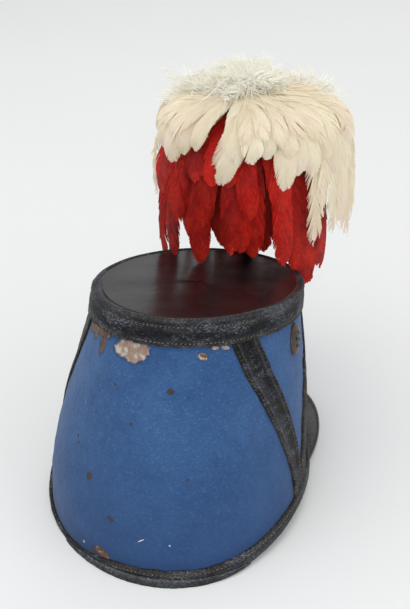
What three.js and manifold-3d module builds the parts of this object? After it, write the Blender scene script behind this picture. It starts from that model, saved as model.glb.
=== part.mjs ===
// A blue cloth shako with leather trim and a falling plume of white over red feathers.
// Millimetres. +Z is up, -Y is the front with the peak, -X is the wearer's right.
import * as THREE from "three";
import { mergeVertices } from "three/addons/utils/BufferGeometryUtils.js";
import Module from "manifold-3d";

const wasm = await Module();
wasm.setup();

// Clearances
const SEAT_GAP = 0.35;
const BORE_GAP = 0.4;

// Head oval, along the lower edge of the cloth
const RIM_HALF_WIDTH = 86.7;
const RIM_REAR_LENGTH = 98.6;
const RIM_FRONT_LENGTH = 92.8;
const RIM_SKEW = 0.03;
const RIM_FLATNESS = 0.013;
const RIM_LIFT = 9;
const RIM_LIFT_START = 30;
const RIM_LIFT_END = 95;

// Crown oval, a flat plane that slopes down to the front
const CROWN_HALF_WIDTH = 64;
const CROWN_HALF_LENGTH = 85.5;
const CROWN_NARROWING = 0.025;
const CROWN_FORWARD = 38.3;
const CROWN_HEIGHT = 138.9;
const CROWN_TILT = 12;

// Wall of cloth over board
const WALL_THICKNESS = 2.4;
const WALL_BULGE = 0.6;
const SIDE_TUCK = 1.6;
const LEFT_SWELL = 5.2;
const LEFT_SWELL_TURN = 55;
const SWELL_LOWNESS = 0.58;
const TUCK_FADE = 0.55;

// Leather disc and the two bands
const DISC_THICKNESS = 2.2;
const BAND_THICKNESS = 2;
const TOP_BAND_HEIGHT = 15.7;
const TOP_BAND_FLARE = 0.4;
const TOP_FOLD_WIDTH = 4.5;
const TOP_FOLD_THICKNESS = 1.2;
const BEAD_HEIGHT = 0.8;
const BEAD_WIDTH = 3;
const BEAD_LIP = 0.5;
const EDGE_ROUND = 0.7;
const BOTTOM_BAND_HEIGHT = 10.5;
const BOTTOM_TURN_THICKNESS = 1.4;

// Second layer of leather at the back of the lower edge
const NECK_STRIP_HALF_ARC = 43;
const NECK_STRIP_TURN = -10;
const NECK_STRIP_HEIGHT = 5;
const NECK_STRIP_THICKNESS = 1.8;
const NECK_STRIP_END = 0.25;

// Straps that form a V on each side
const STRAP_THICKNESS = 1.1;
const STRAP_RIDGE = 0.4;
const STRAP_APEX = 92;

// Peak
const PEAK_HALF_ARC = 61;
const PEAK_LENGTH = 56;
const PEAK_THICKNESS = 2.2;
const PEAK_BINDING = 0.8;
const PEAK_ARCH = 3;
const PEAK_FULLNESS = 2.1;
const PEAK_LIP = 0.8;

// Ventilators
const VENT_HALF_HEIGHT = 10;
const VENT_HALF_WIDTH = 8.6;
const VENT_DOME = 3.4;
const VENT_WALL = 1.1;
const VENT_BELOW_BAND = 13;
const VENT_HOLE_RADIUS = 1.15;
const VENT_HOLE_CIRCLE = 4.6;
const VENT_RING_HOLES = 6;
const VENT_DUCT_RADIUS = 5.2;
const VENT_DUCT_LENGTH = 6 * WALL_THICKNESS;

// Plume and its holder
const STEM_RADIUS = 2.6;
const STEM_DEPTH = 28;
const SOCKET_WALL = 1.6;
const SOCKET_LENGTH = 34;
const SOCKET_RISE = 7;
const SADDLE_HALF_ARC = 6;
const PLUME_TIE_HEIGHT = 240;
const PLUME_FLUFF = 18;
const PLUME_RADIUS = 66;
const WHITE_DROP = 50;
const RED_DROP = 112;
const LAYER_DEPTH = 9;
const CAP_DROP = 30;
const NECK_DROP = 4;
const WHITE_LOCK_WIDTH = 26;
const RED_LOCK_WIDTH = 20;
const LOCK_THICKNESS = 7;

// Facets
const RING_STEPS = 52;
const NECK_STRIP_STEPS = 20;
const PEAK_STEPS = 32;
const SADDLE_STEPS = 4;
const STRAP_STEPS = 14;
const VENT_SIDES = 16;
const DOME_STEPS = 4;
const LOCK_SIDES = 6;
const PLUME_SIDES = 18;
const ROUND_SIDES = 16;
const HOLE_SIDES = 6;

const radians = THREE.MathUtils.degToRad;
const lerp = THREE.MathUtils.lerp;
const smooth = THREE.MathUtils.smoothstep;

// Angles go round the hat from the back towards the wearer's left, in radians.
function fromRear(angle) {
  return Math.abs(Math.atan2(Math.sin(angle), Math.cos(angle)));
}

function rimLift(angle) {
  return RIM_LIFT * smooth(fromRear(angle), radians(RIM_LIFT_START), radians(RIM_LIFT_END));
}

function rimPoint(angle, out) {
  const length = Math.cos(angle) > 0 ? RIM_REAR_LENGTH : RIM_FRONT_LENGTH;
  const skew = 1 - RIM_SKEW * Math.sin(3 * angle) - RIM_FLATNESS * Math.cos(3 * angle);
  const x = (RIM_HALF_WIDTH * skew + out) * Math.sin(angle);
  const y = (length * skew + out) * Math.cos(angle);
  return new THREE.Vector3(x, y, rimLift(angle));
}

function crownPoint(angle, out) {
  const tilt = radians(CROWN_TILT);
  const width = CROWN_HALF_WIDTH * (1 - CROWN_NARROWING * Math.cos(angle)) + out;
  const along = (CROWN_HALF_LENGTH + out) * Math.cos(angle);
  const y = along * Math.cos(tilt) - CROWN_FORWARD;
  const z = CROWN_HEIGHT + along * Math.sin(tilt);
  return new THREE.Vector3(width * Math.sin(angle), y, z);
}

function slopeLength(angle) {
  return rimPoint(angle, 0).distanceTo(crownPoint(angle, 0));
}

// How far the worn wall stands off a straight one: a slight bulge, a tuck under the top band at
// the sides, and a swelling low down at the back of the wearer's left.
function wallOffset(angle, up) {
  const length = slopeLength(angle);
  const share = THREE.MathUtils.clamp(up / length, 0, 1);
  const down = length - up;
  const below = (down - TOP_BAND_HEIGHT) / (TUCK_FADE * length);
  const tuck = below < 0 ? Math.max(0, down) / TOP_BAND_HEIGHT : Math.max(0, 1 - below) ** 2;
  const swell = Math.max(0, Math.cos(angle - radians(LEFT_SWELL_TURN))) ** 2;
  return (
    WALL_BULGE * 4 * share * (1 - share) -
    SIDE_TUCK * Math.sin(angle) ** 2 * tuck +
    LEFT_SWELL * swell * Math.sin(Math.PI * share ** SWELL_LOWNESS) ** 2
  );
}

// A point of the wall, a distance up from the lower edge and a distance out from the cloth.
function wallPoint(angle, up, out) {
  const share = up / slopeLength(angle);
  const offset = out + wallOffset(angle, up);
  return rimPoint(angle, offset).lerp(crownPoint(angle, offset), share);
}

// The same, measured down from the plane of the crown.
function wallPointBelow(angle, down, out) {
  return wallPoint(angle, slopeLength(angle) - down, out);
}

// Turns the faces out if the order of the sections left them inside out.
function facingOut(vertices, triangles) {
  let volume = 0;
  for (let i = 0; i < triangles.length; i += 3) {
    const [a, b, c] = [0, 1, 2].map((k) => vertices[triangles[i + k]]);
    volume += a.dot(b.clone().cross(c));
  }
  if (volume < 0) triangles.reverse();
  const geometry = new THREE.BufferGeometry();
  geometry.setAttribute(
    "position",
    new THREE.Float32BufferAttribute(vertices.flatMap((v) => v.toArray()), 3),
  );
  geometry.setIndex(triangles);
  return geometry;
}

// Joins closed sections of equal length into one body: a ring, or a length with two capped ends.
function joinSections(sections, isRing) {
  const count = sections[0].length;
  const vertices = sections.flat();
  const triangles = [];
  const last = isRing ? sections.length : sections.length - 1;
  for (let i = 0; i < last; i++) {
    const here = i * count;
    const next = ((i + 1) % sections.length) * count;
    for (let j = 0; j < count; j++) {
      const k = (j + 1) % count;
      triangles.push(here + j, next + j, next + k, here + j, next + k, here + k);
    }
  }
  if (!isRing) {
    capEnd(vertices, triangles, 0, count, false);
    capEnd(vertices, triangles, (sections.length - 1) * count, count, true);
  }
  return facingOut(vertices, triangles);
}

function capEnd(vertices, triangles, start, count, isLast) {
  const middle = new THREE.Vector3();
  for (let j = 0; j < count; j++) middle.addScaledVector(vertices[start + j], 1 / count);
  const centre = vertices.push(middle) - 1;
  for (let j = 0; j < count; j++) {
    const k = (j + 1) % count;
    if (isLast) triangles.push(start + j, centre, start + k);
    else triangles.push(start + j, start + k, centre);
  }
}

// A ring round the hat whose section is given for each angle.
function ringOf(sectionAt) {
  const sections = [];
  for (let i = 0; i < RING_STEPS; i++) sections.push(sectionAt((i / RING_STEPS) * 2 * Math.PI));
  return joinSections(sections, true);
}

// A length of the hat's ring between two angles.
function arcOf(sectionAt, from, to, steps) {
  const sections = [];
  for (let i = 0; i <= steps; i++) sections.push(sectionAt(lerp(from, to, i / steps)));
  return joinSections(sections, false);
}

// Closed meshes to solids and back, for the cuts and joins
function solidOf(geometry) {
  const plain = geometry.clone();
  plain.deleteAttribute("normal");
  plain.deleteAttribute("uv");
  const merged = mergeVertices(plain, 1e-4);
  return new wasm.Manifold(
    new wasm.Mesh({
      numProp: 3,
      vertProperties: new Float32Array(merged.attributes.position.array),
      triVerts: new Uint32Array(merged.index.array),
    }),
  );
}

function geometryOf(solid) {
  const mesh = solid.getMesh();
  const geometry = new THREE.BufferGeometry();
  geometry.setAttribute("position", new THREE.BufferAttribute(mesh.vertProperties, 3));
  geometry.setIndex(new THREE.BufferAttribute(mesh.triVerts, 1));
  return geometry;
}

// Round bar along the third axis, with its middle at the origin
function upright(radius, length, sides) {
  const bar = new THREE.CylinderGeometry(radius, radius, length, sides);
  bar.rotateX(Math.PI / 2);
  return bar;
}

// Depths below the crown plane of what is stacked under the fold of the top band
const DISC_TOP_DEPTH = TOP_FOLD_THICKNESS + SEAT_GAP;
const WALL_TOP_DEPTH = DISC_TOP_DEPTH + DISC_THICKNESS + SEAT_GAP;
const WALL_BOTTOM_HEIGHT = BOTTOM_TURN_THICKNESS + SEAT_GAP;

// Outer face of the top band, which flares a little towards its lower edge
function topBandOut(down) {
  return SEAT_GAP + BAND_THICKNESS + (TOP_BAND_FLARE * down) / TOP_BAND_HEIGHT;
}

// Rows of the wall, as shares of the way from its foot to the lower edge of the top band
const WALL_ROWS = [0, 0.17, 0.34, 0.51, 0.68, 0.84, 1];

// Hollow wall with a round duct behind each ventilator
function makeBodyShell() {
  const shell = ringOf((angle) => {
    const bandEdge = slopeLength(angle) - TOP_BAND_HEIGHT;
    const heights = WALL_ROWS.map((share) => lerp(WALL_BOTTOM_HEIGHT, bandEdge, share));
    heights.push(slopeLength(angle) - WALL_TOP_DEPTH);
    const outer = heights.map((up) => wallPoint(angle, up, 0));
    const inner = heights.map((up) => wallPoint(angle, up, -WALL_THICKNESS)).reverse();
    return [...outer, ...inner];
  });
  let solid = solidOf(shell);
  for (const side of [-1, 1]) {
    const duct = upright(VENT_DUCT_RADIUS, VENT_DUCT_LENGTH, ROUND_SIDES);
    duct.applyMatrix4(ventPlace(side));
    solid = solid.subtract(solidOf(duct));
  }
  return geometryOf(solid);
}

// Oval plate of leather, flat, in the plane of the crown
function makeCrownDisc() {
  const rings = [];
  const normal = new THREE.Vector3(0, -Math.sin(radians(CROWN_TILT)), Math.cos(radians(CROWN_TILT)));
  for (const depth of [DISC_TOP_DEPTH, DISC_TOP_DEPTH + DISC_THICKNESS]) {
    const ring = [];
    for (let i = 0; i < RING_STEPS; i++) {
      const angle = (i / RING_STEPS) * 2 * Math.PI;
      ring.push(crownPoint(angle, 0).addScaledVector(normal, -depth));
    }
    rings.push(ring);
  }
  return joinSections(rings, false);
}

// The bead over the fold, as shares of its width in from the face and of its height
const BEAD_ROWS = [
  { inward: 0.2, up: 1 },
  { inward: 0.73, up: 0.6 },
  { inward: 1, up: 0 },
];

// Band round the top, folded in over the disc, with a bead along the fold
function makeTopBand() {
  return ringOf((angle) => {
    const at = (down, out) => wallPointBelow(angle, down, out);
    const face = (down) => at(down, topBandOut(down));
    const bead = BEAD_ROWS.map((row) =>
      at(-BEAD_HEIGHT * row.up, topBandOut(0) - BEAD_WIDTH * row.inward),
    );
    return [
      at(TOP_BAND_HEIGHT, topBandOut(TOP_BAND_HEIGHT) - EDGE_ROUND),
      face(TOP_BAND_HEIGHT - 2 * EDGE_ROUND),
      face(TOP_BAND_HEIGHT / 2),
      face(BEAD_WIDTH),
      at(BEAD_WIDTH / 3, topBandOut(0) + BEAD_LIP),
      ...bead,
      at(0, -TOP_FOLD_WIDTH),
      at(TOP_FOLD_THICKNESS, -TOP_FOLD_WIDTH),
      at(TOP_FOLD_THICKNESS, SEAT_GAP),
      at(TOP_BAND_HEIGHT / 2, SEAT_GAP),
      at(TOP_BAND_HEIGHT, SEAT_GAP),
    ];
  });
}

// Band round the lower edge, turned in under the wall
function makeBottomBand() {
  const face = SEAT_GAP + BAND_THICKNESS;
  return ringOf((angle) => [
    wallPoint(angle, 0, -WALL_THICKNESS),
    wallPoint(angle, 0, face - EDGE_ROUND),
    wallPoint(angle, 2 * EDGE_ROUND, face),
    wallPoint(angle, BOTTOM_BAND_HEIGHT * 0.6, face),
    wallPoint(angle, BOTTOM_BAND_HEIGHT - EDGE_ROUND, face - EDGE_ROUND),
    wallPoint(angle, BOTTOM_BAND_HEIGHT, face - 2 * EDGE_ROUND),
    wallPoint(angle, BOTTOM_BAND_HEIGHT, SEAT_GAP),
    wallPoint(angle, BOTTOM_TURN_THICKNESS, SEAT_GAP),
    wallPoint(angle, BOTTOM_TURN_THICKNESS, -WALL_THICKNESS),
  ]);
}

// Section of the lower layer at the back, as shares of its height and thickness
const NECK_STRIP_ROWS = [
  { up: 0, out: 0 },
  { up: 0, out: 0.88 },
  { up: 0.5, out: 1 },
  { up: 0.9, out: 0.92 },
  { up: 1, out: 0.15 },
  { up: 1, out: 0 },
];

// Lower layer of leather at the back, which thins out towards both ends
function makeNeckStrip() {
  const inner = SEAT_GAP + BAND_THICKNESS + SEAT_GAP;
  const reach = radians(NECK_STRIP_HALF_ARC);
  const middle = radians(NECK_STRIP_TURN);
  const section = (angle) => {
    const fullness = Math.sqrt(Math.max(0, 1 - ((angle - middle) / reach) ** 2));
    const share = Math.max(NECK_STRIP_END, fullness);
    return NECK_STRIP_ROWS.map((row) => {
      const up = NECK_STRIP_HEIGHT * share * row.up;
      return wallPoint(angle, up, inner + NECK_STRIP_THICKNESS * share * row.out);
    });
  };
  return arcOf(section, middle - reach, middle + reach, NECK_STRIP_STEPS);
}

// Edges of a strap, as the share of the way down and the degrees from the middle of the V
const STRAP_ROWS = [
  { down: 0.0, outer: 46, inner: 30.5 },
  { down: 0.17, outer: 38.5, inner: 23.5 },
  { down: 0.34, outer: 29.5, inner: 16 },
  { down: 0.51, outer: 22, inner: 10 },
  { down: 0.68, outer: 15.5, inner: 5 },
  { down: 0.84, outer: 10.5, inner: 1.2 },
  { down: 0.92, outer: 8.6, inner: 0.3 },
  { down: 1.0, outer: 8, inner: 0.3 },
];

// Across a strap, as shares of its width and the height over its back as a share of the ridges
const STRAP_FACE = [
  { across: 0, height: -1.2 },
  { across: 0.06, height: 0.4 },
  { across: 0.12, height: 1 },
  { across: 0.22, height: 0 },
  { across: 0.5, height: 0 },
  { across: 0.78, height: 0 },
  { across: 0.88, height: 1 },
  { across: 0.94, height: 0.4 },
  { across: 1, height: -1.2 },
];

const STRAP_BACK = [1, 0.75, 0.5, 0.25, 0];

// The edges of a strap at a share of its way down, between the rows of the table
function strapRow(down) {
  const i = Math.max(1, STRAP_ROWS.findIndex((row) => row.down >= down));
  const [above, below] = [STRAP_ROWS[i - 1], STRAP_ROWS[i]];
  const share = (down - above.down) / (below.down - above.down);
  return {
    outer: lerp(above.outer, below.outer, share),
    inner: lerp(above.inner, below.inner, share),
  };
}

// One arm of a V. The side is -1 on the wearer's right, and the arm is -1 towards the back.
function makeStrap(side, arm) {
  const sections = [];
  for (let i = 0; i <= STRAP_STEPS; i++) {
    const down = i / STRAP_STEPS;
    const row = strapRow(down);
    const at = (across, out) => {
      const spread = radians(lerp(row.inner, row.outer, across));
      const angle = side * (radians(STRAP_APEX) + arm * spread);
      const top = slopeLength(angle) - TOP_BAND_HEIGHT - SEAT_GAP;
      return wallPoint(angle, lerp(top, BOTTOM_BAND_HEIGHT + SEAT_GAP, down), out);
    };
    const face = STRAP_FACE.map((p) =>
      at(p.across, SEAT_GAP + STRAP_THICKNESS + STRAP_RIDGE * p.height),
    );
    const back = STRAP_BACK.map((across) => at(across, SEAT_GAP));
    sections.push([...face, ...back]);
  }
  return joinSections(sections, false);
}

// Across the peak, from the lower edge of the wall to the free edge
const PEAK_COLUMNS = [
  { across: 0, thick: 1, arch: 0 },
  { across: 0.22, thick: 1, arch: 0.75 },
  { across: 0.55, thick: 1, arch: 1 },
  { across: 0.9, thick: 1, arch: 0.3 },
  { across: 0.95, thick: 1 + PEAK_BINDING / PEAK_THICKNESS, arch: 0.1 },
  { across: 1, thick: 0.7, arch: 0 },
];

// Peak, from a margin under the front of the lower edge to its free edge, which the hat rests on
function makePeak() {
  const seatHeight = RIM_LIFT - SEAT_GAP - PEAK_THICKNESS;
  const bandFace = SEAT_GAP + BAND_THICKNESS;
  const section = (turn) => {
    const angle = Math.PI + radians(PEAK_HALF_ARC) * turn;
    const margin = rimPoint(angle, -WALL_THICKNESS).setZ(seatHeight);
    const root = rimPoint(angle, bandFace).setZ(seatHeight);
    const end = rimPoint(Math.PI + Math.sign(turn) * radians(PEAK_HALF_ARC), bandFace + PEAK_LIP);
    const reach = RIM_FRONT_LENGTH + PEAK_LENGTH + end.y;
    const side = Math.abs(Math.sin((turn * Math.PI) / 2));
    const ahead = Math.max(0, 1 - side ** PEAK_FULLNESS) ** (1 / PEAK_FULLNESS);
    const edge = new THREE.Vector3(side * end.x, end.y - reach * ahead, seatHeight * side * side);
    const arch = PEAK_ARCH * Math.min(1, (2 * edge.distanceTo(root)) / PEAK_LENGTH);
    const low = PEAK_COLUMNS.map((c) => {
      const p = root.clone().lerp(edge, c.across);
      return p.setZ(p.z + arch * c.arch);
    });
    const high = PEAK_COLUMNS.map((c, i) =>
      low[i].clone().setZ(low[i].z + PEAK_THICKNESS * c.thick),
    );
    const marginTop = margin.clone().setZ(seatHeight + PEAK_THICKNESS);
    return [margin, ...low, ...high.reverse(), marginTop];
  };
  return arcOf(section, -1, 1, PEAK_STEPS);
}

// Place of a ventilator: its middle on the cloth, its first axis level and its third axis outward
function ventPlace(side) {
  const angle = side * radians(STRAP_APEX);
  const down = TOP_BAND_HEIGHT + VENT_BELOW_BAND;
  const middle = wallPointBelow(angle, down, 0);
  const upward = wallPointBelow(angle, TOP_BAND_HEIGHT, 0).sub(middle).normalize();
  const nudge = radians(1);
  const level = wallPointBelow(angle + nudge, down, 0)
    .sub(wallPointBelow(angle - nudge, down, 0))
    .normalize();
  const outward = level.clone().cross(upward).normalize();
  if (outward.x * side < 0) outward.negate();
  const across = upward.clone().cross(outward);
  return new THREE.Matrix4().makeBasis(across, upward, outward).setPosition(middle);
}

// Half outline of a dome of the given radius and height, standing a clearance off the cloth
function domeOutline(radius, height) {
  const points = [];
  for (let i = 0; i <= DOME_STEPS; i++) {
    const turn = ((i / DOME_STEPS) * Math.PI) / 2;
    points.push(new THREE.Vector2(Math.sin(turn) * radius, SEAT_GAP + Math.cos(turn) * height));
  }
  return points;
}

// Domed cap with a ring of round holes and one in the middle
function makeVent(side) {
  const outer = domeOutline(VENT_HALF_HEIGHT, VENT_DOME);
  const inner = domeOutline(VENT_HALF_HEIGHT - VENT_WALL, VENT_DOME - VENT_WALL);
  const dome = new THREE.LatheGeometry([...inner, ...outer.reverse()], VENT_SIDES);
  dome.rotateX(Math.PI / 2);
  dome.scale(VENT_HALF_WIDTH / VENT_HALF_HEIGHT, 1, 1);
  const places = [[0, 0]];
  for (let i = 0; i < VENT_RING_HOLES; i++) {
    const turn = ((i + 0.5) / VENT_RING_HOLES) * 2 * Math.PI;
    places.push([Math.cos(turn) * VENT_HOLE_CIRCLE, Math.sin(turn) * VENT_HOLE_CIRCLE]);
  }
  let solid = solidOf(dome);
  for (const [x, y] of places) {
    const hole = upright(VENT_HOLE_RADIUS, 3 * VENT_DOME, HOLE_SIDES);
    hole.translate(x, y, VENT_DOME);
    solid = solid.subtract(solidOf(hole));
  }
  const geometry = geometryOf(solid);
  geometry.applyMatrix4(ventPlace(side));
  return geometry;
}

// Holder of the plume: a cup on a saddle that follows the front of the top band
const SOCKET_RADIUS = STEM_RADIUS + BORE_GAP + SOCKET_WALL;
const SOCKET_AXIS_Y =
  wallPointBelow(Math.PI, 0, topBandOut(0) + BEAD_LIP + SEAT_GAP).y - SOCKET_RADIUS;
const SOCKET_TOP = crownPoint(Math.PI, 0).z + SOCKET_RISE;

function makeSocket() {
  const section = (angle) => {
    const near = (down) => wallPointBelow(angle, down, topBandOut(down) + SEAT_GAP);
    const far = (down) => near(down).setY(SOCKET_AXIS_Y);
    return [near(BEAD_WIDTH), near(TOP_BAND_HEIGHT), far(TOP_BAND_HEIGHT), far(BEAD_WIDTH)];
  };
  const reach = radians(SADDLE_HALF_ARC);
  const saddle = arcOf(section, Math.PI - reach, Math.PI + reach, SADDLE_STEPS);
  const cup = upright(SOCKET_RADIUS, SOCKET_LENGTH, ROUND_SIDES);
  cup.translate(0, SOCKET_AXIS_Y, SOCKET_TOP - SOCKET_LENGTH / 2);
  const bore = upright(STEM_RADIUS + BORE_GAP, 2 * (STEM_DEPTH + BORE_GAP), ROUND_SIDES);
  bore.translate(0, SOCKET_AXIS_Y, SOCKET_TOP);
  return geometryOf(solidOf(cup).add(solidOf(saddle)).subtract(solidOf(bore)));
}

// Locks of feathers: a compass turn in degrees from the back towards the wearer's left, then how
// far they stand out, how far they fall and how wide they are, as shares of the plume's own sizes
const WHITE_LOCKS = [
  { turn: 8, out: 0.94, fall: 0.82, width: 1 },
  { turn: 30, out: 0.98, fall: 0.98, width: 1 },
  { turn: 53, out: 0.93, fall: 0.88, width: 1 },
  { turn: 76, out: 0.92, fall: 1.0, width: 1 },
  { turn: 99, out: 0.89, fall: 0.86, width: 1 },
  { turn: 122, out: 0.96, fall: 1.0, width: 1 },
  { turn: 145, out: 0.98, fall: 0.9, width: 1 },
  { turn: 168, out: 1.0, fall: 1.04, width: 1 },
  { turn: 191, out: 1.0, fall: 0.95, width: 1 },
  { turn: 214, out: 1.04, fall: 1.15, width: 1 },
  { turn: 236, out: 1.08, fall: 1.6, width: 0.92 },
  { turn: 255, out: 1.1, fall: 2.05, width: 0.85 },
  { turn: 273, out: 1.08, fall: 1.9, width: 0.85 },
  { turn: 292, out: 1.04, fall: 1.2, width: 0.92 },
  { turn: 315, out: 0.98, fall: 0.86, width: 1 },
  { turn: 338, out: 0.98, fall: 1.02, width: 1 },
];

const RED_LOCKS = [
  { turn: 0, out: 0.9, fall: 0.76, width: 1 },
  { turn: 20, out: 0.94, fall: 0.78, width: 1 },
  { turn: 41, out: 1.0, fall: 0.8, width: 1 },
  { turn: 62, out: 1.1, fall: 0.98, width: 1 },
  { turn: 83, out: 1.08, fall: 1.06, width: 1 },
  { turn: 105, out: 1.04, fall: 1.0, width: 1 },
  { turn: 127, out: 1.0, fall: 1.04, width: 1 },
  { turn: 150, out: 0.96, fall: 1.1, width: 1 },
  { turn: 173, out: 0.94, fall: 1.04, width: 1 },
  { turn: 196, out: 0.94, fall: 1.1, width: 1 },
  { turn: 219, out: 0.94, fall: 1.14, width: 1 },
  { turn: 241, out: 0.84, fall: 1.26, width: 1 },
  { turn: 262, out: 1.04, fall: 1.04, width: 1 },
  { turn: 282, out: 1.06, fall: 0.98, width: 1 },
  { turn: 301, out: 1.0, fall: 0.8, width: 1 },
  { turn: 320, out: 0.94, fall: 0.8, width: 1 },
  { turn: 340, out: 0.92, fall: 0.77, width: 1 },
];

// Along a lock, from its root to its tip: the share of its way out, of its drop and of its width
const LOCK_WAY = [
  { out: 0.16, drop: -0.02, width: 0.45 },
  { out: 0.5, drop: 0.04, width: 0.8 },
  { out: 0.82, drop: 0.22, width: 1.0 },
  { out: 0.98, drop: 0.5, width: 0.95 },
  { out: 1.0, drop: 0.8, width: 0.62 },
  { out: 0.96, drop: 1.0, width: 0.16 },
];

// One lock, for the full reach, fall and width of its layer and the height it starts at
function makeLock(row, radius, drop, width, top) {
  const turn = radians(row.turn);
  const away = new THREE.Vector3(Math.sin(turn), Math.cos(turn), 0);
  const aside = new THREE.Vector3(Math.cos(turn), -Math.sin(turn), 0);
  const spine = LOCK_WAY.map((way) =>
    away
      .clone()
      .multiplyScalar(radius * row.out * way.out)
      .setZ(top - drop * row.fall * way.drop),
  );
  const sections = spine.map((middle, i) => {
    const before = spine[Math.max(0, i - 1)];
    const after = spine[Math.min(spine.length - 1, i + 1)];
    const along = after.clone().sub(before).normalize();
    const over = aside.clone().cross(along).normalize();
    const halfWidth = (width * row.width * LOCK_WAY[i].width) / 2;
    const halfThickness = (LOCK_THICKNESS * Math.sqrt(LOCK_WAY[i].width)) / 2;
    const section = [];
    for (let k = 0; k < LOCK_SIDES; k++) {
      const round = (k / LOCK_SIDES) * 2 * Math.PI;
      section.push(
        middle
          .clone()
          .addScaledVector(aside, Math.cos(round) * halfWidth)
          .addScaledVector(over, Math.sin(round) * halfThickness),
      );
    }
    return section;
  });
  const lock = joinSections(sections, false);
  lock.translate(0, SOCKET_AXIS_Y, 0);
  return solidOf(lock);
}

// A turned body on the plume's axis, from the axis at its top to the axis at its foot
function turnedBody(profile) {
  const points = profile.map(([radius, height]) => new THREE.Vector2(radius, height)).reverse();
  const body = new THREE.LatheGeometry(points, PLUME_SIDES);
  body.rotateX(Math.PI / 2);
  body.translate(0, SOCKET_AXIS_Y, 0);
  return solidOf(body);
}

const RED_TOP = PLUME_TIE_HEIGHT - LAYER_DEPTH;
const RED_RADIUS = PLUME_RADIUS - LAYER_DEPTH;

// Core under the red locks, as shares of their reach and of the drop of the white cap
const CORE_ROWS = [
  { radius: 0, fall: 0 },
  { radius: 0.42, fall: 0.03 },
  { radius: 0.72, fall: 0.22 },
  { radius: 0.86, fall: 0.55 },
  { radius: 0.9, fall: 1 },
];
const CORE_FOOT = { radius: 0.55, fall: 2 };
const RED_LOCK_FALL = 0.2;

// White cap, as shares of its reach and of the height of the fluff over the tie
const CAP_ROWS = [
  { radius: 0, up: 1 },
  { radius: 0.4, up: 0.94 },
  { radius: 0.7, up: 0.5 },
  { radius: 0.86, up: -0.55 },
];
const CAP_EDGE = 0.95;

// The outside of the red core, which the white cap follows at a clearance
function coreProfile(extra) {
  return CORE_ROWS.map((row) => [
    row.radius * RED_RADIUS + (row.radius > 0 ? extra : 0),
    RED_TOP - row.fall * CAP_DROP + (row.fall < 1 ? extra : 0),
  ]);
}

// Red core and locks on the stem, cut back to clear the white layer
function makePlumeRed(grownWhite) {
  const stemFoot = SOCKET_TOP - STEM_DEPTH;
  const foot = RED_TOP - CAP_DROP * CORE_FOOT.fall;
  let solid = turnedBody([
    ...coreProfile(0),
    [RED_RADIUS * CORE_FOOT.radius, foot],
    [STEM_RADIUS, foot - NECK_DROP],
    [STEM_RADIUS, stemFoot],
    [0, stemFoot],
  ]);
  const top = RED_TOP - RED_LOCK_FALL * CAP_DROP;
  for (const row of RED_LOCKS) {
    solid = solid.add(makeLock(row, RED_RADIUS, RED_DROP, RED_LOCK_WIDTH, top));
  }
  return geometryOf(solid.subtract(grownWhite));
}

// White cap and locks, grown by an extra on every side
function whiteSolidWith(extra) {
  const cap = CAP_ROWS.map((row) => [
    row.radius * PLUME_RADIUS + (row.radius > 0 ? extra : 0),
    PLUME_TIE_HEIGHT + row.up * PLUME_FLUFF + extra,
  ]);
  const edge = [CAP_EDGE * PLUME_RADIUS + extra, RED_TOP - CAP_DROP];
  let solid = turnedBody([...cap, edge, ...coreProfile(SEAT_GAP - extra).reverse()]);
  const width = WHITE_LOCK_WIDTH + 2 * extra;
  for (const row of WHITE_LOCKS) {
    solid = solid.add(makeLock(row, PLUME_RADIUS, WHITE_DROP, width, PLUME_TIE_HEIGHT));
  }
  return solid;
}

// Finishes
const FINISHES = {
  cloth: { color: 0x3e66a0, roughness: 0.95, metalness: 0 },
  leather: { color: 0x1c1a19, roughness: 0.5, metalness: 0 },
  strapLeather: { color: 0x2a2725, roughness: 0.6, metalness: 0 },
  ventMetal: { color: 0x151515, roughness: 0.45, metalness: 0.3 },
  redFeather: { color: 0xaa1e19, roughness: 0.8, metalness: 0 },
  whiteFeather: { color: 0xe9e0cf, roughness: 0.85, metalness: 0 },
};

function piece(name, geometry, finish) {
  const mesh = new THREE.Mesh(geometry, new THREE.MeshStandardMaterial(FINISHES[finish]));
  mesh.name = name;
  return mesh;
}

const white = whiteSolidWith(0);

const shako = new THREE.Group();
shako.add(piece("body_shell", makeBodyShell(), "cloth"));
shako.add(piece("crown_disc", makeCrownDisc(), "leather"));
shako.add(piece("top_band", makeTopBand(), "leather"));
shako.add(piece("bottom_band", makeBottomBand(), "leather"));
shako.add(piece("neck_strip", makeNeckStrip(), "strapLeather"));
shako.add(piece("peak", makePeak(), "leather"));
for (const [name, side] of [["right", -1], ["left", 1]]) {
  shako.add(piece(`strap_rear_${name}`, makeStrap(side, -1), "strapLeather"));
  shako.add(piece(`strap_front_${name}`, makeStrap(side, 1), "strapLeather"));
  shako.add(piece(`vent_${name}`, makeVent(side), "ventMetal"));
}
shako.add(piece("plume_socket", makeSocket(), "leather"));
shako.add(piece("plume_red", makePlumeRed(whiteSolidWith(SEAT_GAP)), "redFeather"));
shako.add(piece("plume_white", geometryOf(white), "whiteFeather"));

// The origin is the middle of the bottom of the whole object's box
const box = new THREE.Box3().setFromObject(shako, true);
const middle = box.getCenter(new THREE.Vector3());
shako.position.set(-middle.x, -middle.y, -box.min.z);

export default shako;
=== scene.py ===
"""A blue cloth shako with black leather trim and a falling plume of white over red feathers.

Lengths are in millimetres in the size fields and in metres in the meshes. +Z is up, -Y is the
front with the peak and -X the wearer's right. Angles go round the hat from the back towards the
wearer's left.
"""

import logging
import math
from dataclasses import dataclass, replace
from enum import Enum
from typing import Any, Iterable, Sequence

import bpy
import numpy as np
from mathutils import Matrix, Vector

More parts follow.
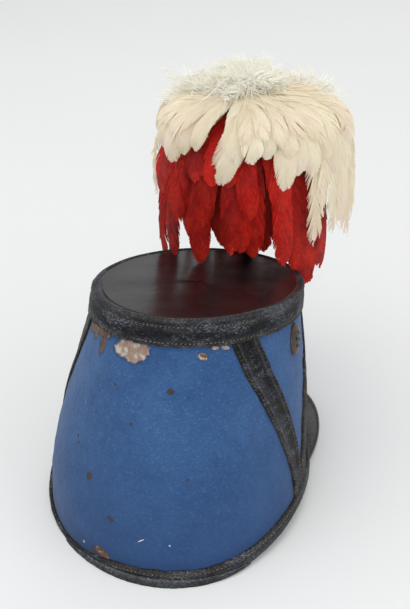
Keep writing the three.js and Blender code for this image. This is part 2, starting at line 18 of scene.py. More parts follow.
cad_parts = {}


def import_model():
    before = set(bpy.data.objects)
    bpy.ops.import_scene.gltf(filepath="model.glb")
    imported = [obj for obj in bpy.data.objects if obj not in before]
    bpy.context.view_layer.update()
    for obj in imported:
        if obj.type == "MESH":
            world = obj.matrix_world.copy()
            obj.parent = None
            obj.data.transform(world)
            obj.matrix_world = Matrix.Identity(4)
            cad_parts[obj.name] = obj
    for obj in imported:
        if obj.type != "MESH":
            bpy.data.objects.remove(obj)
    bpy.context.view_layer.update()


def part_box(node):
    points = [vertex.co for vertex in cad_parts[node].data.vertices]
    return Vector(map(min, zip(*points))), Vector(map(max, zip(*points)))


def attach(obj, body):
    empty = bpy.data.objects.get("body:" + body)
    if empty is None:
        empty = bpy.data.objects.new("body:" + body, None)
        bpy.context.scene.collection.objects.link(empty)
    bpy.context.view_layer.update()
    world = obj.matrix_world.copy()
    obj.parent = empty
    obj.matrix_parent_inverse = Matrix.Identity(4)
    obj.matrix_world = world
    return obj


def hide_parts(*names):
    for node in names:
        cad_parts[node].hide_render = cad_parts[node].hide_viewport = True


MM = 0.001
FULL_TURN = 2 * math.pi
FULL_CIRCLE = 360.0
NUMBER, ARROW = "NodeSocketFloat", "NodeSocketVector"
Array = np.ndarray
Node, Socket, Tree = bpy.types.Node, bpy.types.NodeSocket, bpy.types.NodeTree
Material, Object = bpy.types.Material, bpy.types.Object
Colour = tuple[float, float, float, float]
log = logging.getLogger("shako")


# Numbers shared by the pieces


def tone(red: int, green: int, blue: int) -> Colour:
    """A colour read off a screen, 0 to 255 a channel, as the linear colour a material needs."""
    linear = [
        v / 255 / 12.92 if v <= 10 else ((v / 255 + 0.055) / 1.055) ** 2.4
        for v in (red, green, blue)
    ]
    return (linear[0], linear[1], linear[2], 1.0)


def darker(colour: Colour, share: float) -> Colour:
    """The same colour with only a share of its light."""
    return (colour[0] * share, colour[1] * share, colour[2] * share, 1.0)


def full_ring(count: int) -> Array:
    """Angles spread evenly over a full turn."""
    return np.arange(count) / count * FULL_TURN


def smooth(value: Array, low: float, high: float) -> Array:
    """An even step from 0 at low to 1 at high."""
    share = np.clip((value - low) / (high - low), 0, 1)
    return share * share * (3 - 2 * share)


def ripple(points: Array, size: float, seed: int) -> Array:
    """Smooth random unevenness.

    Args:
        points: places in metres, with x, y and z last.
        size: the length of a wave in millimetres.
        seed: which unevenness it is.

    Returns:
        A value for each point, mostly between -1 and 1.
    """
    rng = np.random.default_rng(seed)
    total = np.zeros(points.shape[:-1])
    for _ in range(14):
        way = rng.normal(size=3)
        way *= FULL_TURN / (size * MM) * rng.uniform(0.6, 1.5) / np.linalg.norm(way)
        total += np.sin(points @ way + rng.uniform(0, FULL_TURN))
    return total / 5


def read_off(table: Any, value: Array, column: int = 1) -> Array:
    """Reads a column of a table at values of its first column, with straight lines between."""
    rows = np.array(table, float)
    return np.interp(value, rows[:, 0], rows[:, column])


def unit(vectors: Array) -> Array:
    """The same directions at length one."""
    return vectors / np.maximum(np.linalg.norm(vectors, axis=-1, keepdims=True), 1e-12)


def way_along(path: Array) -> Array:
    """How far each point of a path is along it."""
    return np.concatenate([[0], np.cumsum(np.linalg.norm(np.diff(path, axis=0), axis=-1))])


def between(where: Array, way: Array, rows: Array) -> Array:
    """Points or directions given along a way, read at other places on it."""
    return np.stack([np.interp(where, way, rows[:, k]) for k in range(3)], -1)


@dataclass(frozen=True)
class HatForm:
    """The shape that every piece of the hat follows, in millimetres.

    Args:
        axis_x: where the middle of the head oval lies along X in the shared frame.
        axis_y: the same along Y.
    """

    axis_x: float
    axis_y: float
    rim_half_width: float = 86.7
    rim_rear: float = 98.6
    rim_front: float = 92.8
    rim_skew: float = 0.03
    rim_flatness: float = 0.013
    rim_lift: float = 9.0
    lift_start: float = 30.0
    lift_end: float = 95.0
    crown_half_width: float = 64.0
    crown_half_length: float = 85.5
    crown_narrowing: float = 0.025
    crown_forward: float = 38.3
    crown_height: float = 138.9
    crown_tilt: float = 12.0
    bulge: float = 0.6
    side_tuck: float = 1.6
    tuck_fade: float = 0.55
    swell: float = 5.2
    swell_turn: float = 55.0
    swell_lowness: float = 0.58
    wall: float = 2.4
    gap: float = 0.35
    disc: float = 2.2
    band: float = 2.0
    top_band: float = 15.7
    top_flare: float = 0.4
    fold: float = 1.2
    bottom_band: float = 10.5
    bottom_turn: float = 1.4
    shown_band: float = 8.6
    least_band: float = 1.9
    strap_apex: float = 92.0
    vent_drop: float = 13.0

    @classmethod
    def on_frame(cls) -> "HatForm":
        """The form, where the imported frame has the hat."""
        disc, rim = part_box("crown_disc"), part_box("bottom_band")
        back = cls.rim_rear * (1 - cls.rim_flatness) + cls.gap + cls.band
        return cls((disc[0][0] + disc[1][0]) / 2 / MM, rim[1][1] / MM - back)

    def lift(self, angle: Array) -> Array:
        """Height of the lower edge of the cloth over the rest plane."""
        turned = np.abs(np.arctan2(np.sin(angle), np.cos(angle)))
        low, high = math.radians(self.lift_start), math.radians(self.lift_end)
        return self.rim_lift * smooth(turned, low, high)

    def rim(self, angle: Array, out: Array) -> Array:
        """A point of the head oval, a distance out from the cloth."""
        length = np.where(np.cos(angle) > 0, self.rim_rear, self.rim_front)
        skew = 1 - self.rim_skew * np.sin(3 * angle) - self.rim_flatness * np.cos(3 * angle)
        x = (self.rim_half_width * skew + out) * np.sin(angle)
        y = (length * skew + out) * np.cos(angle)
        return np.stack(np.broadcast_arrays(x, y, self.lift(angle)), -1)

    def crown(self, angle: Array, out: Array) -> Array:
        """A point of the crown oval, a distance out from the cloth."""
        tilt = math.radians(self.crown_tilt)
        width = self.crown_half_width * (1 - self.crown_narrowing * np.cos(angle)) + out
        along = (self.crown_half_length + out) * np.cos(angle)
        y = along * math.cos(tilt) - self.crown_forward
        z = self.crown_height + along * math.sin(tilt)
        return np.stack(np.broadcast_arrays(width * np.sin(angle), y, z), -1)

    def slope(self, angle: Array) -> Array:
        """Length of the wall from the head oval to the crown oval."""
        return np.linalg.norm(self.rim(angle, 0.0) - self.crown(angle, 0.0), axis=-1)

    def stand_off(self, angle: Array, up: Array) -> Array:
        """How far the worn wall stands off a straight one."""
        length = self.slope(angle)
        share = np.clip(up / length, 0, 1)
        down = length - up
        below = (down - self.top_band) / (self.tuck_fade * length)
        tuck = np.where(
            below < 0, np.maximum(0, down) / self.top_band, np.maximum(0, 1 - below) ** 2
        )
        swell = np.maximum(0, np.cos(angle - math.radians(self.swell_turn))) ** 2
        return (
            self.bulge * 4 * share * (1 - share)
            - self.side_tuck * np.sin(angle) ** 2 * tuck
            + self.swell * swell * np.sin(math.pi * share**self.swell_lowness) ** 2
        )

    def band_top(self, angle: Array) -> Array:
        """How far up the lower band shows: the cloth bulges over it at the back left."""
        degrees = np.degrees(np.arctan2(np.sin(angle), np.cos(angle)))
        covered = smooth(degrees, -8, 33) * (1 - smooth(degrees, 58, 80))
        return self.shown_band + (self.least_band - self.shown_band) * covered

    def place(self, points: Array) -> Array:
        """Points of the hat's own millimetres as metres in the shared frame."""
        return (points + np.array([self.axis_x, self.axis_y, 0.0])) * MM

    def at(self, angle: Array, up: Array, out: Array) -> Array:
        """A point of the wall in metres, from its way round, its way up and its way out."""
        angle, up, out = np.broadcast_arrays(
            np.asarray(angle, float), np.asarray(up, float), np.asarray(out, float)
        )
        share = (up / self.slope(angle))[..., None]
        offset = out + self.stand_off(angle, up)
        rim, crown = self.rim(angle, offset), self.crown(angle, offset)
        return self.place(rim + (crown - rim) * share)

    def below(self, angle: Array, down: Array, out: Array) -> Array:
        """The same as at, measured down from the plane of the crown."""
        return self.at(angle, self.slope(np.asarray(angle, float)) - down, out)

    def axes_at(self, angle: float, up: float) -> tuple[Array, Array, Array, Array]:
        """Middle, level, upward and outward directions at a place on the cloth."""
        here = self.at(angle, up, 0.0)
        upward = unit(self.at(angle, up + 1, 0.0) - self.at(angle, up - 1, 0.0))
        level = unit(self.at(angle + 0.01, up, 0.0) - self.at(angle - 0.01, up, 0.0))
        outward = unit(np.cross(upward, level))
        if float(np.dot(outward, self.at(angle, up, 1.0) - here)) < 0:
            outward = -outward
        return here, level, upward, outward

    def vent_axes(self, side: int) -> tuple[Array, Array, Array, Array]:
        """The same where a ventilator sits, on one side of the hat."""
        angle = side * math.radians(self.strap_apex)
        length = float(self.slope(np.array(angle)))
        return self.axes_at(angle, length - self.top_band - self.vent_drop)


# Meshes


class Draft:
    """Vertices, faces and painted values of one piece before it becomes an object."""

    def __init__(self) -> None:
        """Starts with nothing."""
        self.vertices: list[Array] = []
        self.faces: list[list[int]] = []
        self.parts: list[int] = []
        self.values: dict[str, list[Array]] = {}
        self.count = 0

    def add(self, vertices: Array, faces: Iterable[Sequence[int]], **values: Array) -> None:
        """Adds vertices with the faces between them.

        Args:
            vertices: places in metres, of any shape that ends in x, y, z.
            faces: rows of numbers that count from the first of these vertices.
            **values: a painted value for each vertex.
        """
        flat = np.asarray(vertices, float).reshape(-1, 3)
        self.faces.extend([int(i) + self.count for i in face] for face in faces)
        for name in values:
            self.values.setdefault(name, [np.zeros(self.count)] if self.count else [])
        for name, rows_before in self.values.items():
            value = values.get(name, np.zeros(len(flat)))
            rows_before.append(np.broadcast_to(np.asarray(value, float).ravel(), (len(flat),)))
        self.vertices.append(flat)
        self.count += len(flat)

    def grid(
        self,
        points: Array,
        ring: bool = False,
        round_section: bool = False,
        caps: bool = False,
        **values: Array,
    ) -> None:
        """Adds a grid of points, such as a section moved along a way.

        Args:
            points: array of stations by section points by 3.
            ring: the last station joins the first.
            round_section: the last point of a section joins its first.
            caps: closes both ends with a face.
            **values: a painted value for each point.
        """
        stations, across = points.shape[:2]
        a = np.arange(stations if ring else stations - 1)
        b = np.arange(across if round_section else across - 1)
        i, j = np.meshgrid(a, b, indexing="ij")
        i2, j2 = (i + 1) % stations, (j + 1) % across
        quads = np.stack(
            [i * across + j, i2 * across + j, i2 * across + j2, i * across + j2], -1
        ).reshape(-1, 4)
        faces = quads.tolist()
        if caps:
            faces.append(list(range(across))[::-1])
            faces.append([(stations - 1) * across + k for k in range(across)])
        flat = {k: np.broadcast_to(v, points.shape[:2]) for k, v in values.items()}
        self.add(points, faces, **flat)

    def close_rows(self, stations: int, across: int) -> None:
        """Closes the holes that the first and last rows of a ring of sections leave."""
        self.faces.append([i * across for i in range(stations)])
        self.faces.append([i * across + across - 1 for i in range(stations)][::-1])

    def rod(self, axes: Sequence[Array], radius: float, sides: int, reach: Sequence[float]) -> None:
        """Adds a closed round rod that goes through a place on the cloth.

        Args:
            axes: middle, level, upward and outward directions of the place.
            radius: of the rod, in millimetres.
            sides: faces round it.
            reach: how far it goes in and out, in millimetres.
        """
        middle, level, upward, outward = axes
        turns = full_ring(sides)[:, None]
        ring = (np.cos(turns) * level + np.sin(turns) * upward) * radius * MM
        ends = [middle + ring - outward * reach[0] * MM, middle + ring + outward * reach[1] * MM]
        self.grid(np.stack(ends), round_section=True, caps=True)

    def cut_from(self, piece: Object, solver: str) -> None:
        """Takes these bodies away from a piece, by one of Blender's solvers."""
        mesh = bpy.data.meshes.new("cutter")
        mesh.from_pydata(np.concatenate(self.vertices).tolist(), [], self.faces)
        cutter = bpy.data.objects.new("cutter", mesh)
        bpy.context.scene.collection.objects.link(cutter)
        change = piece.modifiers.new("holes", "BOOLEAN")
        change.object = cutter
        change.operation = "DIFFERENCE"
        change.solver = solver
        bpy.context.view_layer.update()
        graph = bpy.context.evaluated_depsgraph_get()
        cut = bpy.data.meshes.new_from_object(piece.evaluated_get(graph))
        piece.modifiers.clear()
        piece.data = cut
        bpy.data.objects.remove(cutter)

    def piece(
        self,
        name: str,
        materials: Sequence[Material],
        slot: str,
        nodes: Sequence[str] = (),
        sharp: float = 50.0,
    ) -> Object:
        """Makes the object with its materials.

        Args:
            name: the piece's name.
            materials: its materials, in the order that the parts count them.
            slot: not used.
            nodes: the solids that it stands for.
            sharp: edges that turn by more than these degrees stay sharp.

        Returns:
            The object, which goes with the hat.
        """
        mesh = bpy.data.meshes.new(name)
        mesh.from_pydata(np.concatenate(self.vertices).tolist(), [], self.faces)
        for key, rows in self.values.items():
            layer = mesh.attributes.new(key, "FLOAT", "POINT")
            layer.data.foreach_set("value", np.concatenate(rows).astype(np.float32))
        for material in materials:
            mesh.materials.append(material)
        if self.parts:
            mesh.polygons.foreach_set("material_index", self.parts)
        mesh.polygons.foreach_set("use_smooth", [True] * len(self.faces))
        mesh.update()
        if sharp < 180:
            mesh.set_sharp_from_angle(angle=math.radians(sharp))
        mesh.validate()
        obj = bpy.data.objects.new(name, mesh)
        bpy.context.scene.collection.objects.link(obj)
        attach(obj, "root")
        if nodes:
            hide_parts(*nodes)
        log.info("%s: %d faces", name, len(mesh.polygons))
        return obj


def turned(profile: Sequence[tuple[float, float]], centre: Array, sides: int) -> Array:
    """A turned body on an upright axis.

    Args:
        profile: radius and height in millimetres.
        centre: x and y of the axis in metres.
        sides: stations round it.

    Returns:
        Points by station round and by profile row.
    """
    turns = full_ring(sides)
    rows = np.array(profile) * MM
    x = centre[0] + np.sin(turns)[:, None] * rows[:, 0]
    y = centre[1] + np.cos(turns)[:, None] * rows[:, 0]
    return np.stack([x, y, np.broadcast_to(rows[:, 1], x.shape)], -1)


def stitches(
    draft: Draft, path: Array, outward: Array, spacing: float, size: tuple[float, float], seed: int
) -> None:
    """Adds a row of small thread stitches.

    Args:
        draft: the piece they become part of.
        path: points of the seam in metres.
        outward: which way is out at each of them.
        spacing: from one stitch to the next, in millimetres.
        size: length and width of a stitch, in millimetres.
        seed: which unevenness it is.
    """
    rng = np.random.default_rng(seed)
    way = way_along(path)
    count = max(2, int(way[-1] / (spacing * MM)))
    middles = (np.arange(count) + 0.5) / count * way[-1] + rng.normal(0, 0.08 * MM, count)
    half_length = size[0] * MM / 2 * rng.uniform(0.85, 1.1, count)
    half_width = size[1] * MM / 2
    out = unit(between(middles, way, outward))
    near, far = (between(middles + step * MM, way, path) for step in (-0.1, 0.1))
    aside = np.cross(out, unit(far - near))
    rows = []
    for share, swell in ((-1, 0.25), (-0.6, 0.9), (0, 1.1), (0.6, 0.9), (1, 0.25)):
        centre = between(middles + share * half_length, way, path)
        rise = (1 - share * share) * 0.35 * half_width
        section = [
            centre
            + aside * math.cos(k * math.pi / 3) * half_width * swell
            + out * (math.sin(k * math.pi / 3) * half_width * swell * 0.7 + rise)
            for k in range(6)
        ]
        rows.append(np.stack(section, 1))
    points = np.stack(rows, 1)
    for row in points:
        draft.grid(row, round_section=True, caps=True)


# Materials


class Wiring:
    """Places nodes in one tree and joins them."""

    def __init__(self, tree: Tree) -> None:
        """Starts in a tree."""
        self.tree = tree

    def put(self, kind: str, settings: dict | None = None, inputs: dict | None = None) -> Node:
        """Places a node.

        Args:
            kind: the node's type name without the words ShaderNode.
            settings: its properties.
            inputs: sockets by name or number, each with a value or another node's output.

        Returns:
            The node.
        """
        node = self.tree.nodes.new("ShaderNode" + kind)
        for name, value in (settings or {}).items():
            setattr(node, name, value)
        for key, value in (inputs or {}).items():
            socket = node.inputs[key]
            if isinstance(value, Socket):
                self.tree.links.new(value, socket)
            else:
                socket.default_value = value
        return node

    def sum(self, operation: str, *values: Any, clamp: bool = False) -> Socket:
        """A Math node's result."""
        inputs = dict(enumerate(values))
        return self.put("Math", {"operation": operation, "use_clamp": clamp}, inputs).outputs[0]

    def times(self, first: Any, second: Any, clamp: bool = False) -> Socket:
        """One value times another."""
        return self.sum("MULTIPLY", first, second, clamp=clamp)

    def plus(self, first: Any, second: Any) -> Socket:
        """Two values together."""
        return self.sum("ADD", first, second)

    def less(self, first: Any, second: Any, clamp: bool = False) -> Socket:
        """What is left of one value without another."""
        return self.sum("SUBTRACT", first, second, clamp=clamp)

    def most(self, first: Any, second: Any) -> Socket:
        """The larger of two values."""
        return self.sum("MAXIMUM", first, second)

    def vector(self, operation: str, *values: Any) -> Node:
        """A Vector Math node."""
        return self.put("VectorMath", {"operation": operation}, dict(enumerate(values)))

    def step(self, value: Any, low: float, high: float, to: tuple = (0.0, 1.0)) -> Any:
        """A soft step of a value between two limits."""
        inputs = {"Value": value, 1: low, 2: high, 3: to[0], 4: to[1]}
        return self.put("MapRange", {"interpolation_type": "SMOOTHSTEP"}, inputs).outputs[0]

    def mix(self, share: Any, first: Any, second: Any, blend: str = "MIX") -> Any:
        """Two colours mixed by a share."""
        settings = {"data_type": "RGBA", "blend_type": blend}
        return self.put("Mix", settings, {0: share, 6: first, 7: second}).outputs[2]

    def noise(self, where: Any, scale: Any, detail: float = 3.0, rough: float = 0.5) -> Any:
        """Cloudy values from 0 to 1 at a scale in waves per metre."""
        inputs = {"Vector": where, "Scale": scale, "Detail": detail, "Roughness": rough}
        return self.put("TexNoise", None, inputs).outputs["Fac"]

    def cells(self, where: Any, scale: Any, feature: str) -> Any:
        """Distances in a pattern of cells, at a scale in cells per metre."""
        inputs = {"Vector": where, "Scale": scale}
        return self.put("TexVoronoi", {"feature": feature}, inputs).outputs["Distance"]

    def object_place(self) -> Socket:
        """The surface's own place in metres."""
        return self.put("TexCoord").outputs["Object"]

    def stretched(self, where: Any, scale: tuple[float, float, float]) -> Any:
        """A place drawn out along the axes."""
        return self.vector("MULTIPLY", where, scale).outputs[0]

    def painted(self, name: str) -> Socket:
        """A value that the mesh carries."""
        return self.put("Attribute", {"attribute_name": name}).outputs["Fac"]

    def effect(self, tree: Tree, inputs: dict[str, Any]) -> Node:
        """Places a shared effect with this material's own values."""
        return self.put("Group", {"node_tree": tree}, inputs)

    def feed(self, node: Node, name: str, value: Any) -> None:
        """Joins a result to one of a node's sockets."""
        self.tree.links.new(value, node.inputs[name])

    def relief(self, shader: Node, height: Any, depth: float, strength: float) -> None:
        """Gives a shader its relief, a depth in millimetres."""
        inputs = {"Height": height, "Distance": depth * MM, "Strength": strength}
        self.feed(shader, "Normal", self.put("Bump", None, inputs).outputs[0])


class Effects:
    """Groups of nodes that more than one material uses, each built once."""

    def __init__(self) -> None:
        """Builds every group."""
        self.patch = self._patch()
        self.grain = self._grain()
        self.rubbing = self._rubbing()
        self.vane = self._vane()

    @staticmethod
    def _group(name: str, inputs: dict, outputs: Sequence[str]) -> tuple[Tree, Wiring, Any, Node]:
        """An empty group.

        Args:
            name: its name.
            inputs: the names of its inputs, each with its usual number or vector.
            outputs: the names of the numbers that it gives.

        Returns:
            Its tree, its wiring, the sockets of its inputs and the node for its results.
        """
        tree = bpy.data.node_groups.new(name, "ShaderNodeTree")
        for label, value in inputs.items():
            kind = ARROW if isinstance(value, tuple) else NUMBER
            socket = tree.interface.new_socket(label, in_out="INPUT", socket_type=kind)
            socket.default_value = value
        for label in outputs:
            tree.interface.new_socket(label, in_out="OUTPUT", socket_type=NUMBER)
        given = tree.nodes.new("NodeGroupInput").outputs
        return tree, Wiring(tree), given, tree.nodes.new("NodeGroupOutput")

    def _patch(self) -> Tree:
        """A ragged worn place on the cloth: its mask and the rim round it."""
        ways = {"Centre": (0, 0, 0), "Level": (1, 0, 0), "Upward": (0, 0, 1)}
        sizes = {"Half Width": 0.005, "Half Height": 0.005, "Raggedness": 0.3, "Fineness": 400.0}
        tree, w, given, end = self._group("ragged patch", {**ways, **sizes}, ("Mask", "Rim"))
        place = w.object_place()
        away = w.vector("SUBTRACT", place, given["Centre"]).outputs[0]
        level = w.vector("DOT_PRODUCT", away, given["Level"]).outputs["Value"]
        upward = w.vector("DOT_PRODUCT", away, given["Upward"]).outputs["Value"]
        far = w.vector("LENGTH", away).outputs["Value"]
        x = w.sum("DIVIDE", level, given["Half Width"])
        y = w.sum("DIVIDE", upward, given["Half Height"])
        reach = w.sum("SQRT", w.plus(w.times(x, x), w.times(y, y)))
        cloud = w.noise(place, given["Fineness"], 4.0, 0.65)
        bent = w.times(w.less(cloud, 0.5), given["Raggedness"])
        edge = w.plus(reach, w.times(bent, 4.0))
        edge = w.plus(edge, w.step(far, 0.03, 0.05, (0.0, 9.0)))
        w.feed(end, "Mask", w.step(edge, 1.08, 0.92))
        rim = w.less(w.step(edge, 1.5, 1.1), w.step(edge, 1.1, 0.9), clamp=True)
        w.feed(end, "Rim", rim)
        return tree

    def _grain(self) -> Tree:
        """Leather: its fine grain as a height, and the cracks of old leather as a mask."""
        sizes = {"Grain Scale": 900.0, "Crack Scale": 260.0, "Cracking": 0.5}
        inputs = {"Place": (0, 0, 0), **sizes}
        tree, w, given, end = self._group("leather grain", inputs, ("Height", "Cracks"))
        place = given["Place"]
        warp = w.put("TexNoise", None, {"Vector": place, "Scale": 90.0, "Detail": 2.0})
        shift = w.vector("SCALE", warp.outputs["Color"])
        shift.inputs["Scale"].default_value = 0.006
        bent = w.vector("ADD", place, shift.outputs[0]).outputs[0]
        pebble = w.step(w.cells(bent, given["Grain Scale"], "DISTANCE_TO_EDGE"), 0.0, 0.35)
        splits = w.cells(bent, given["Crack Scale"], "DISTANCE_TO_EDGE")
        where = w.noise(place, 60.0, 3.0)
        width = w.times(w.step(where, 0.35, 0.65), 0.09)
        line = w.sum("LESS_THAN", splits, width)
        cracks = w.times(line, given["Cracking"])
        w.feed(end, "Cracks", cracks)
        fine = w.noise(place, 2600.0, 2.0)
        height = w.plus(w.times(pebble, 0.7), w.times(fine, 0.3))
        height = w.less(height, w.times(cracks, 1.4))
        w.feed(end, "Height", height)
        return tree

    def _rubbing(self) -> Tree:
        """Where a surface is rubbed: its painted edges broken up by clouds, and light dust."""
        inputs = {"Place": (0, 0, 0), "Edge": 0.0, "Amount": 0.5, "Cloud Scale": 120.0}
        tree, w, given, end = self._group("rubbing", inputs, ("Rubbed", "Dust"))
        place = given["Place"]
        cloud = w.noise(place, given["Cloud Scale"], 5.0, 0.65)
        edge = w.times(given["Edge"], w.step(cloud, 0.3, 0.62))
        spots = w.step(w.noise(place, 420.0, 4.0, 0.7), 0.62, 0.74)
        rubbed = w.plus(edge, w.times(spots, 0.35))
        rubbed = w.times(rubbed, given["Amount"], clamp=True)
        w.feed(end, "Rubbed", rubbed)
        dot = w.sum("LESS_THAN", w.cells(place, 190.0, "F1"), 0.055)
        veil = w.step(w.noise(place, 35.0, 4.0), 0.42, 0.8)
        dust = w.plus(w.times(dot, 0.7), w.times(veil, 0.3))
        w.feed(end, "Dust", dust)
        return tree

    def _vane(self) -> Tree:
        """Feather: fine streaks across the barbs, and the softer light of a feather's edge."""
        inputs = {"Place": (0, 0, 0), "Along": 0.0, "Across": 0.0}
        tree, w, given, end = self._group("feather vane", inputs, ("Streak", "Tip"))
        place = w.stretched(given["Place"], (1.0, 1.0, 0.35))
        streak = w.noise(place, 900.0, 3.0, 0.6)
        w.feed(end, "Streak", w.step(streak, 0.3, 0.7))
        tip = w.most(w.step(given["Along"], 0.6, 1.0), given["Across"])
        cloud = w.noise(given["Place"], 70.0, 2.0)
        w.feed(end, "Tip", w.times(tip, w.step(cloud, 0.3, 0.7)))
        return tree


def start_material(name: str, fixed: dict[str, float]) -> tuple[Material, Wiring, Node]:
    """A new material with its wiring and its shader, which gets some fixed values by name."""
    material = bpy.data.materials.new(name)
    material.use_nodes = True
    tree = material.node_tree
    shader = tree.nodes["Principled BSDF"]
    for socket, value in fixed.items():
        shader.inputs[socket].default_value = value
    return material, Wiring(tree), shader


@dataclass(frozen=True)
class LeatherFinish:
    """One of the hat's leathers.

    Args:
        name: the material's name.
        base: its colour.
        rubbed: its colour where it is worn.
        dust: its colour under dust.
        roughness: how matt it is, from 0 to 1.
        coat: how much polish it keeps.
        grain: waves of its grain per metre.
        crack: waves of its cracks per metre.
        cracking: how far it has cracked.
        wear: how much its edges are rubbed.
        dustiness: how much dust shows.
        relief: depth of its grain in millimetres.
        painted_glint: how strongly highlights are painted on its grain.
        highlight_colour: the colour of those painted highlights.
    """

    name: str
    base: Colour
    rubbed: Colour
    dust: Colour
    roughness: float
    coat: float
    grain: float = 480.0
    crack: float = 200.0
    cracking: float = 0.6
    wear: float = 0.4
    dustiness: float = 0.05
    relief: float = 0.6
    painted_glint: float = 0.8
    highlight_colour: Colour = tone(134, 139, 150)

    def material(self, effects: Effects) -> Material:
        """The leather as a material."""
        fixed = {"Specular IOR Level": 0.03, "Coat Roughness": 0.22}
        material, w, shader = start_material(self.name, fixed)
        place = w.object_place()
        scales = {"Grain Scale": self.grain, "Crack Scale": self.crack, "Cracking": self.cracking}
        grain = w.effect(effects.grain, {"Place": place, **scales}).outputs
        edges = {"Edge": w.painted("worn"), "Amount": self.wear}
        rubbing = w.effect(effects.rubbing, {"Place": place, **edges}).outputs
        # Clouds of darker leather at random.
        cloud = w.noise(place, 45.0, 4.0, 0.6)
        darker_tone = darker(self.base, 0.55)
        colour = w.mix(w.step(cloud, 0.35, 0.7), self.base, darker_tone)
        colour = w.mix(rubbing["Rubbed"], colour, self.rubbed)
        # Painted shade in the cracks, which take the same darker tone.
        colour = w.mix(w.times(grain["Cracks"], 0.8), colour, darker_tone)
        # Painted highlights: glints on the grain and shine along the ridges, mixed into the colour.
        colour = w.mix(self.painted_highlights(w, place), colour, self.highlight_colour)
        colour = w.mix(w.times(rubbing["Dust"], self.dustiness), colour, self.dust)
        w.feed(shader, "Base Color", colour)
        rough = w.plus(self.roughness, w.times(rubbing["Rubbed"], 0.3))
        w.feed(shader, "Roughness", w.plus(rough, w.times(w.less(cloud, 0.5), 0.18)))
        w.feed(shader, "Coat Weight", w.times(self.coat, w.less(1.0, rubbing["Rubbed"])))
        w.relief(shader, grain["Height"], self.relief, 1.0)
        return material

    def painted_highlights(self, w: Wiring, place: Any) -> Any:
        """Where highlights are painted on the grain and along the ridges of the leather."""
        highlight_noise = w.noise(w.stretched(place, (1.0, 1.0, 2.4)), 560.0, 5.0, 0.8)
        fine = w.step(highlight_noise, 0.47, 0.65)
        clouds = w.noise(w.stretched(place, (1.0, 1.0, 2.6)), 40.0, 3.0, 0.6)
        broad = w.step(clouds, 0.4, 0.66, (0.1, 1.0))
        ridge_shine = w.times(w.painted("shine"), w.step(fine, 0.0, 1.0, (0.28, 1.0)))
        ridge_shine = w.times(ridge_shine, w.step(broad, 0, 1, (0.5, 1.0)))
        return w.most(w.times(fine, w.times(broad, self.painted_glint)), ridge_shine)


@dataclass(frozen=True)
class FeatherFinish:
    """The colour of one kind of feather.

    Args:
        name: the material's name.
        base: its usual colour.
        other: the colour of the feathers that differ most, also given to feathers that lie deeper
            as painted shade.
        tip: the colour towards tips and edges.
        deep: a darker colour, painted as shade near the root and in the lines between the barbs.
        roughness: how matt it is.
        streak: how dark the painted shade in the lines between its barbs is.
        glow: share of the light that passes through it.
    """

    name: str
    base: Colour
    other: Colour
    tip: Colour
    deep: Colour
    roughness: float
    streak: float
    glow: float = 0.4

    def material(self, effects: Effects) -> Material:
        """The feather as a material."""
        fixed = {"Roughness": self.roughness, "Specular IOR Level": 0.25, "Sheen Weight": 0.15}
        material, w, shader = start_material(self.name, fixed)
        along = w.painted("along")
        ways = {"Along": along, "Across": w.painted("across")}
        vane = w.effect(effects.vane, {"Place": w.object_place(), **ways}).outputs
        colour = w.mix(w.painted("shade"), self.base, self.other)
        # Painted shade towards the root, where the feathers lie under each other.
        colour = w.mix(w.step(along, 0.35, 0.0, (0.0, 0.8)), colour, self.deep)
        colour = w.mix(w.times(vane["Tip"], 0.7), colour, self.tip)
        # Painted shade in the lines between the barbs.
        streaked = w.mix(self.streak, colour, self.deep, "MULTIPLY")
        colour = w.mix(vane["Streak"], streaked, colour)
        w.feed(shader, "Base Color", colour)
        w.relief(shader, vane["Streak"], 0.15, 0.5)
        through = w.put("BsdfTranslucent", None, {"Color": colour})
        both = w.put("MixShader", None, {0: self.glow, 1: shader.outputs[0], 2: through.outputs[0]})
        w.feed(w.tree.nodes["Material Output"], "Surface", both.outputs[0])
        return material


class MarkKind(Enum):
    """What a worn place on the cloth shows."""

    HOLE = "hole"
    BARE_BROWN = "bare brown"
    BARE_PALE = "bare pale"
    LINT = "lint"


HOLE, BROWN, PALE, LINT = MarkKind


@dataclass(frozen=True)
class Mark:
    """A worn place on the cloth.

    Args:
        kind: what it shows.
        angle: degrees round from the back.
        share: share of the way up the wall.
        half_width: half its level size in millimetres.
        half_height: half its upright size in millimetres.
        lean: degrees that it is turned.
        ragged: how ragged its edge is.
    """

    kind: MarkKind
    angle: float
    share: float
    half_width: float
    half_height: float
    lean: float = 0.0
    ragged: float = 0.25

    def axes(self, form: HatForm) -> tuple[Array, Array, Array]:
        """Its middle, and the directions of its width and its height."""
        angle, lean = math.radians(self.angle), math.radians(self.lean)
        length = float(form.slope(np.array(angle)))
        middle, level, upward, _ = form.axes_at(angle, self.share * length)
        across = level * math.cos(lean) + upward * math.sin(lean)
        return middle, across, upward * math.cos(lean) - level * math.sin(lean)


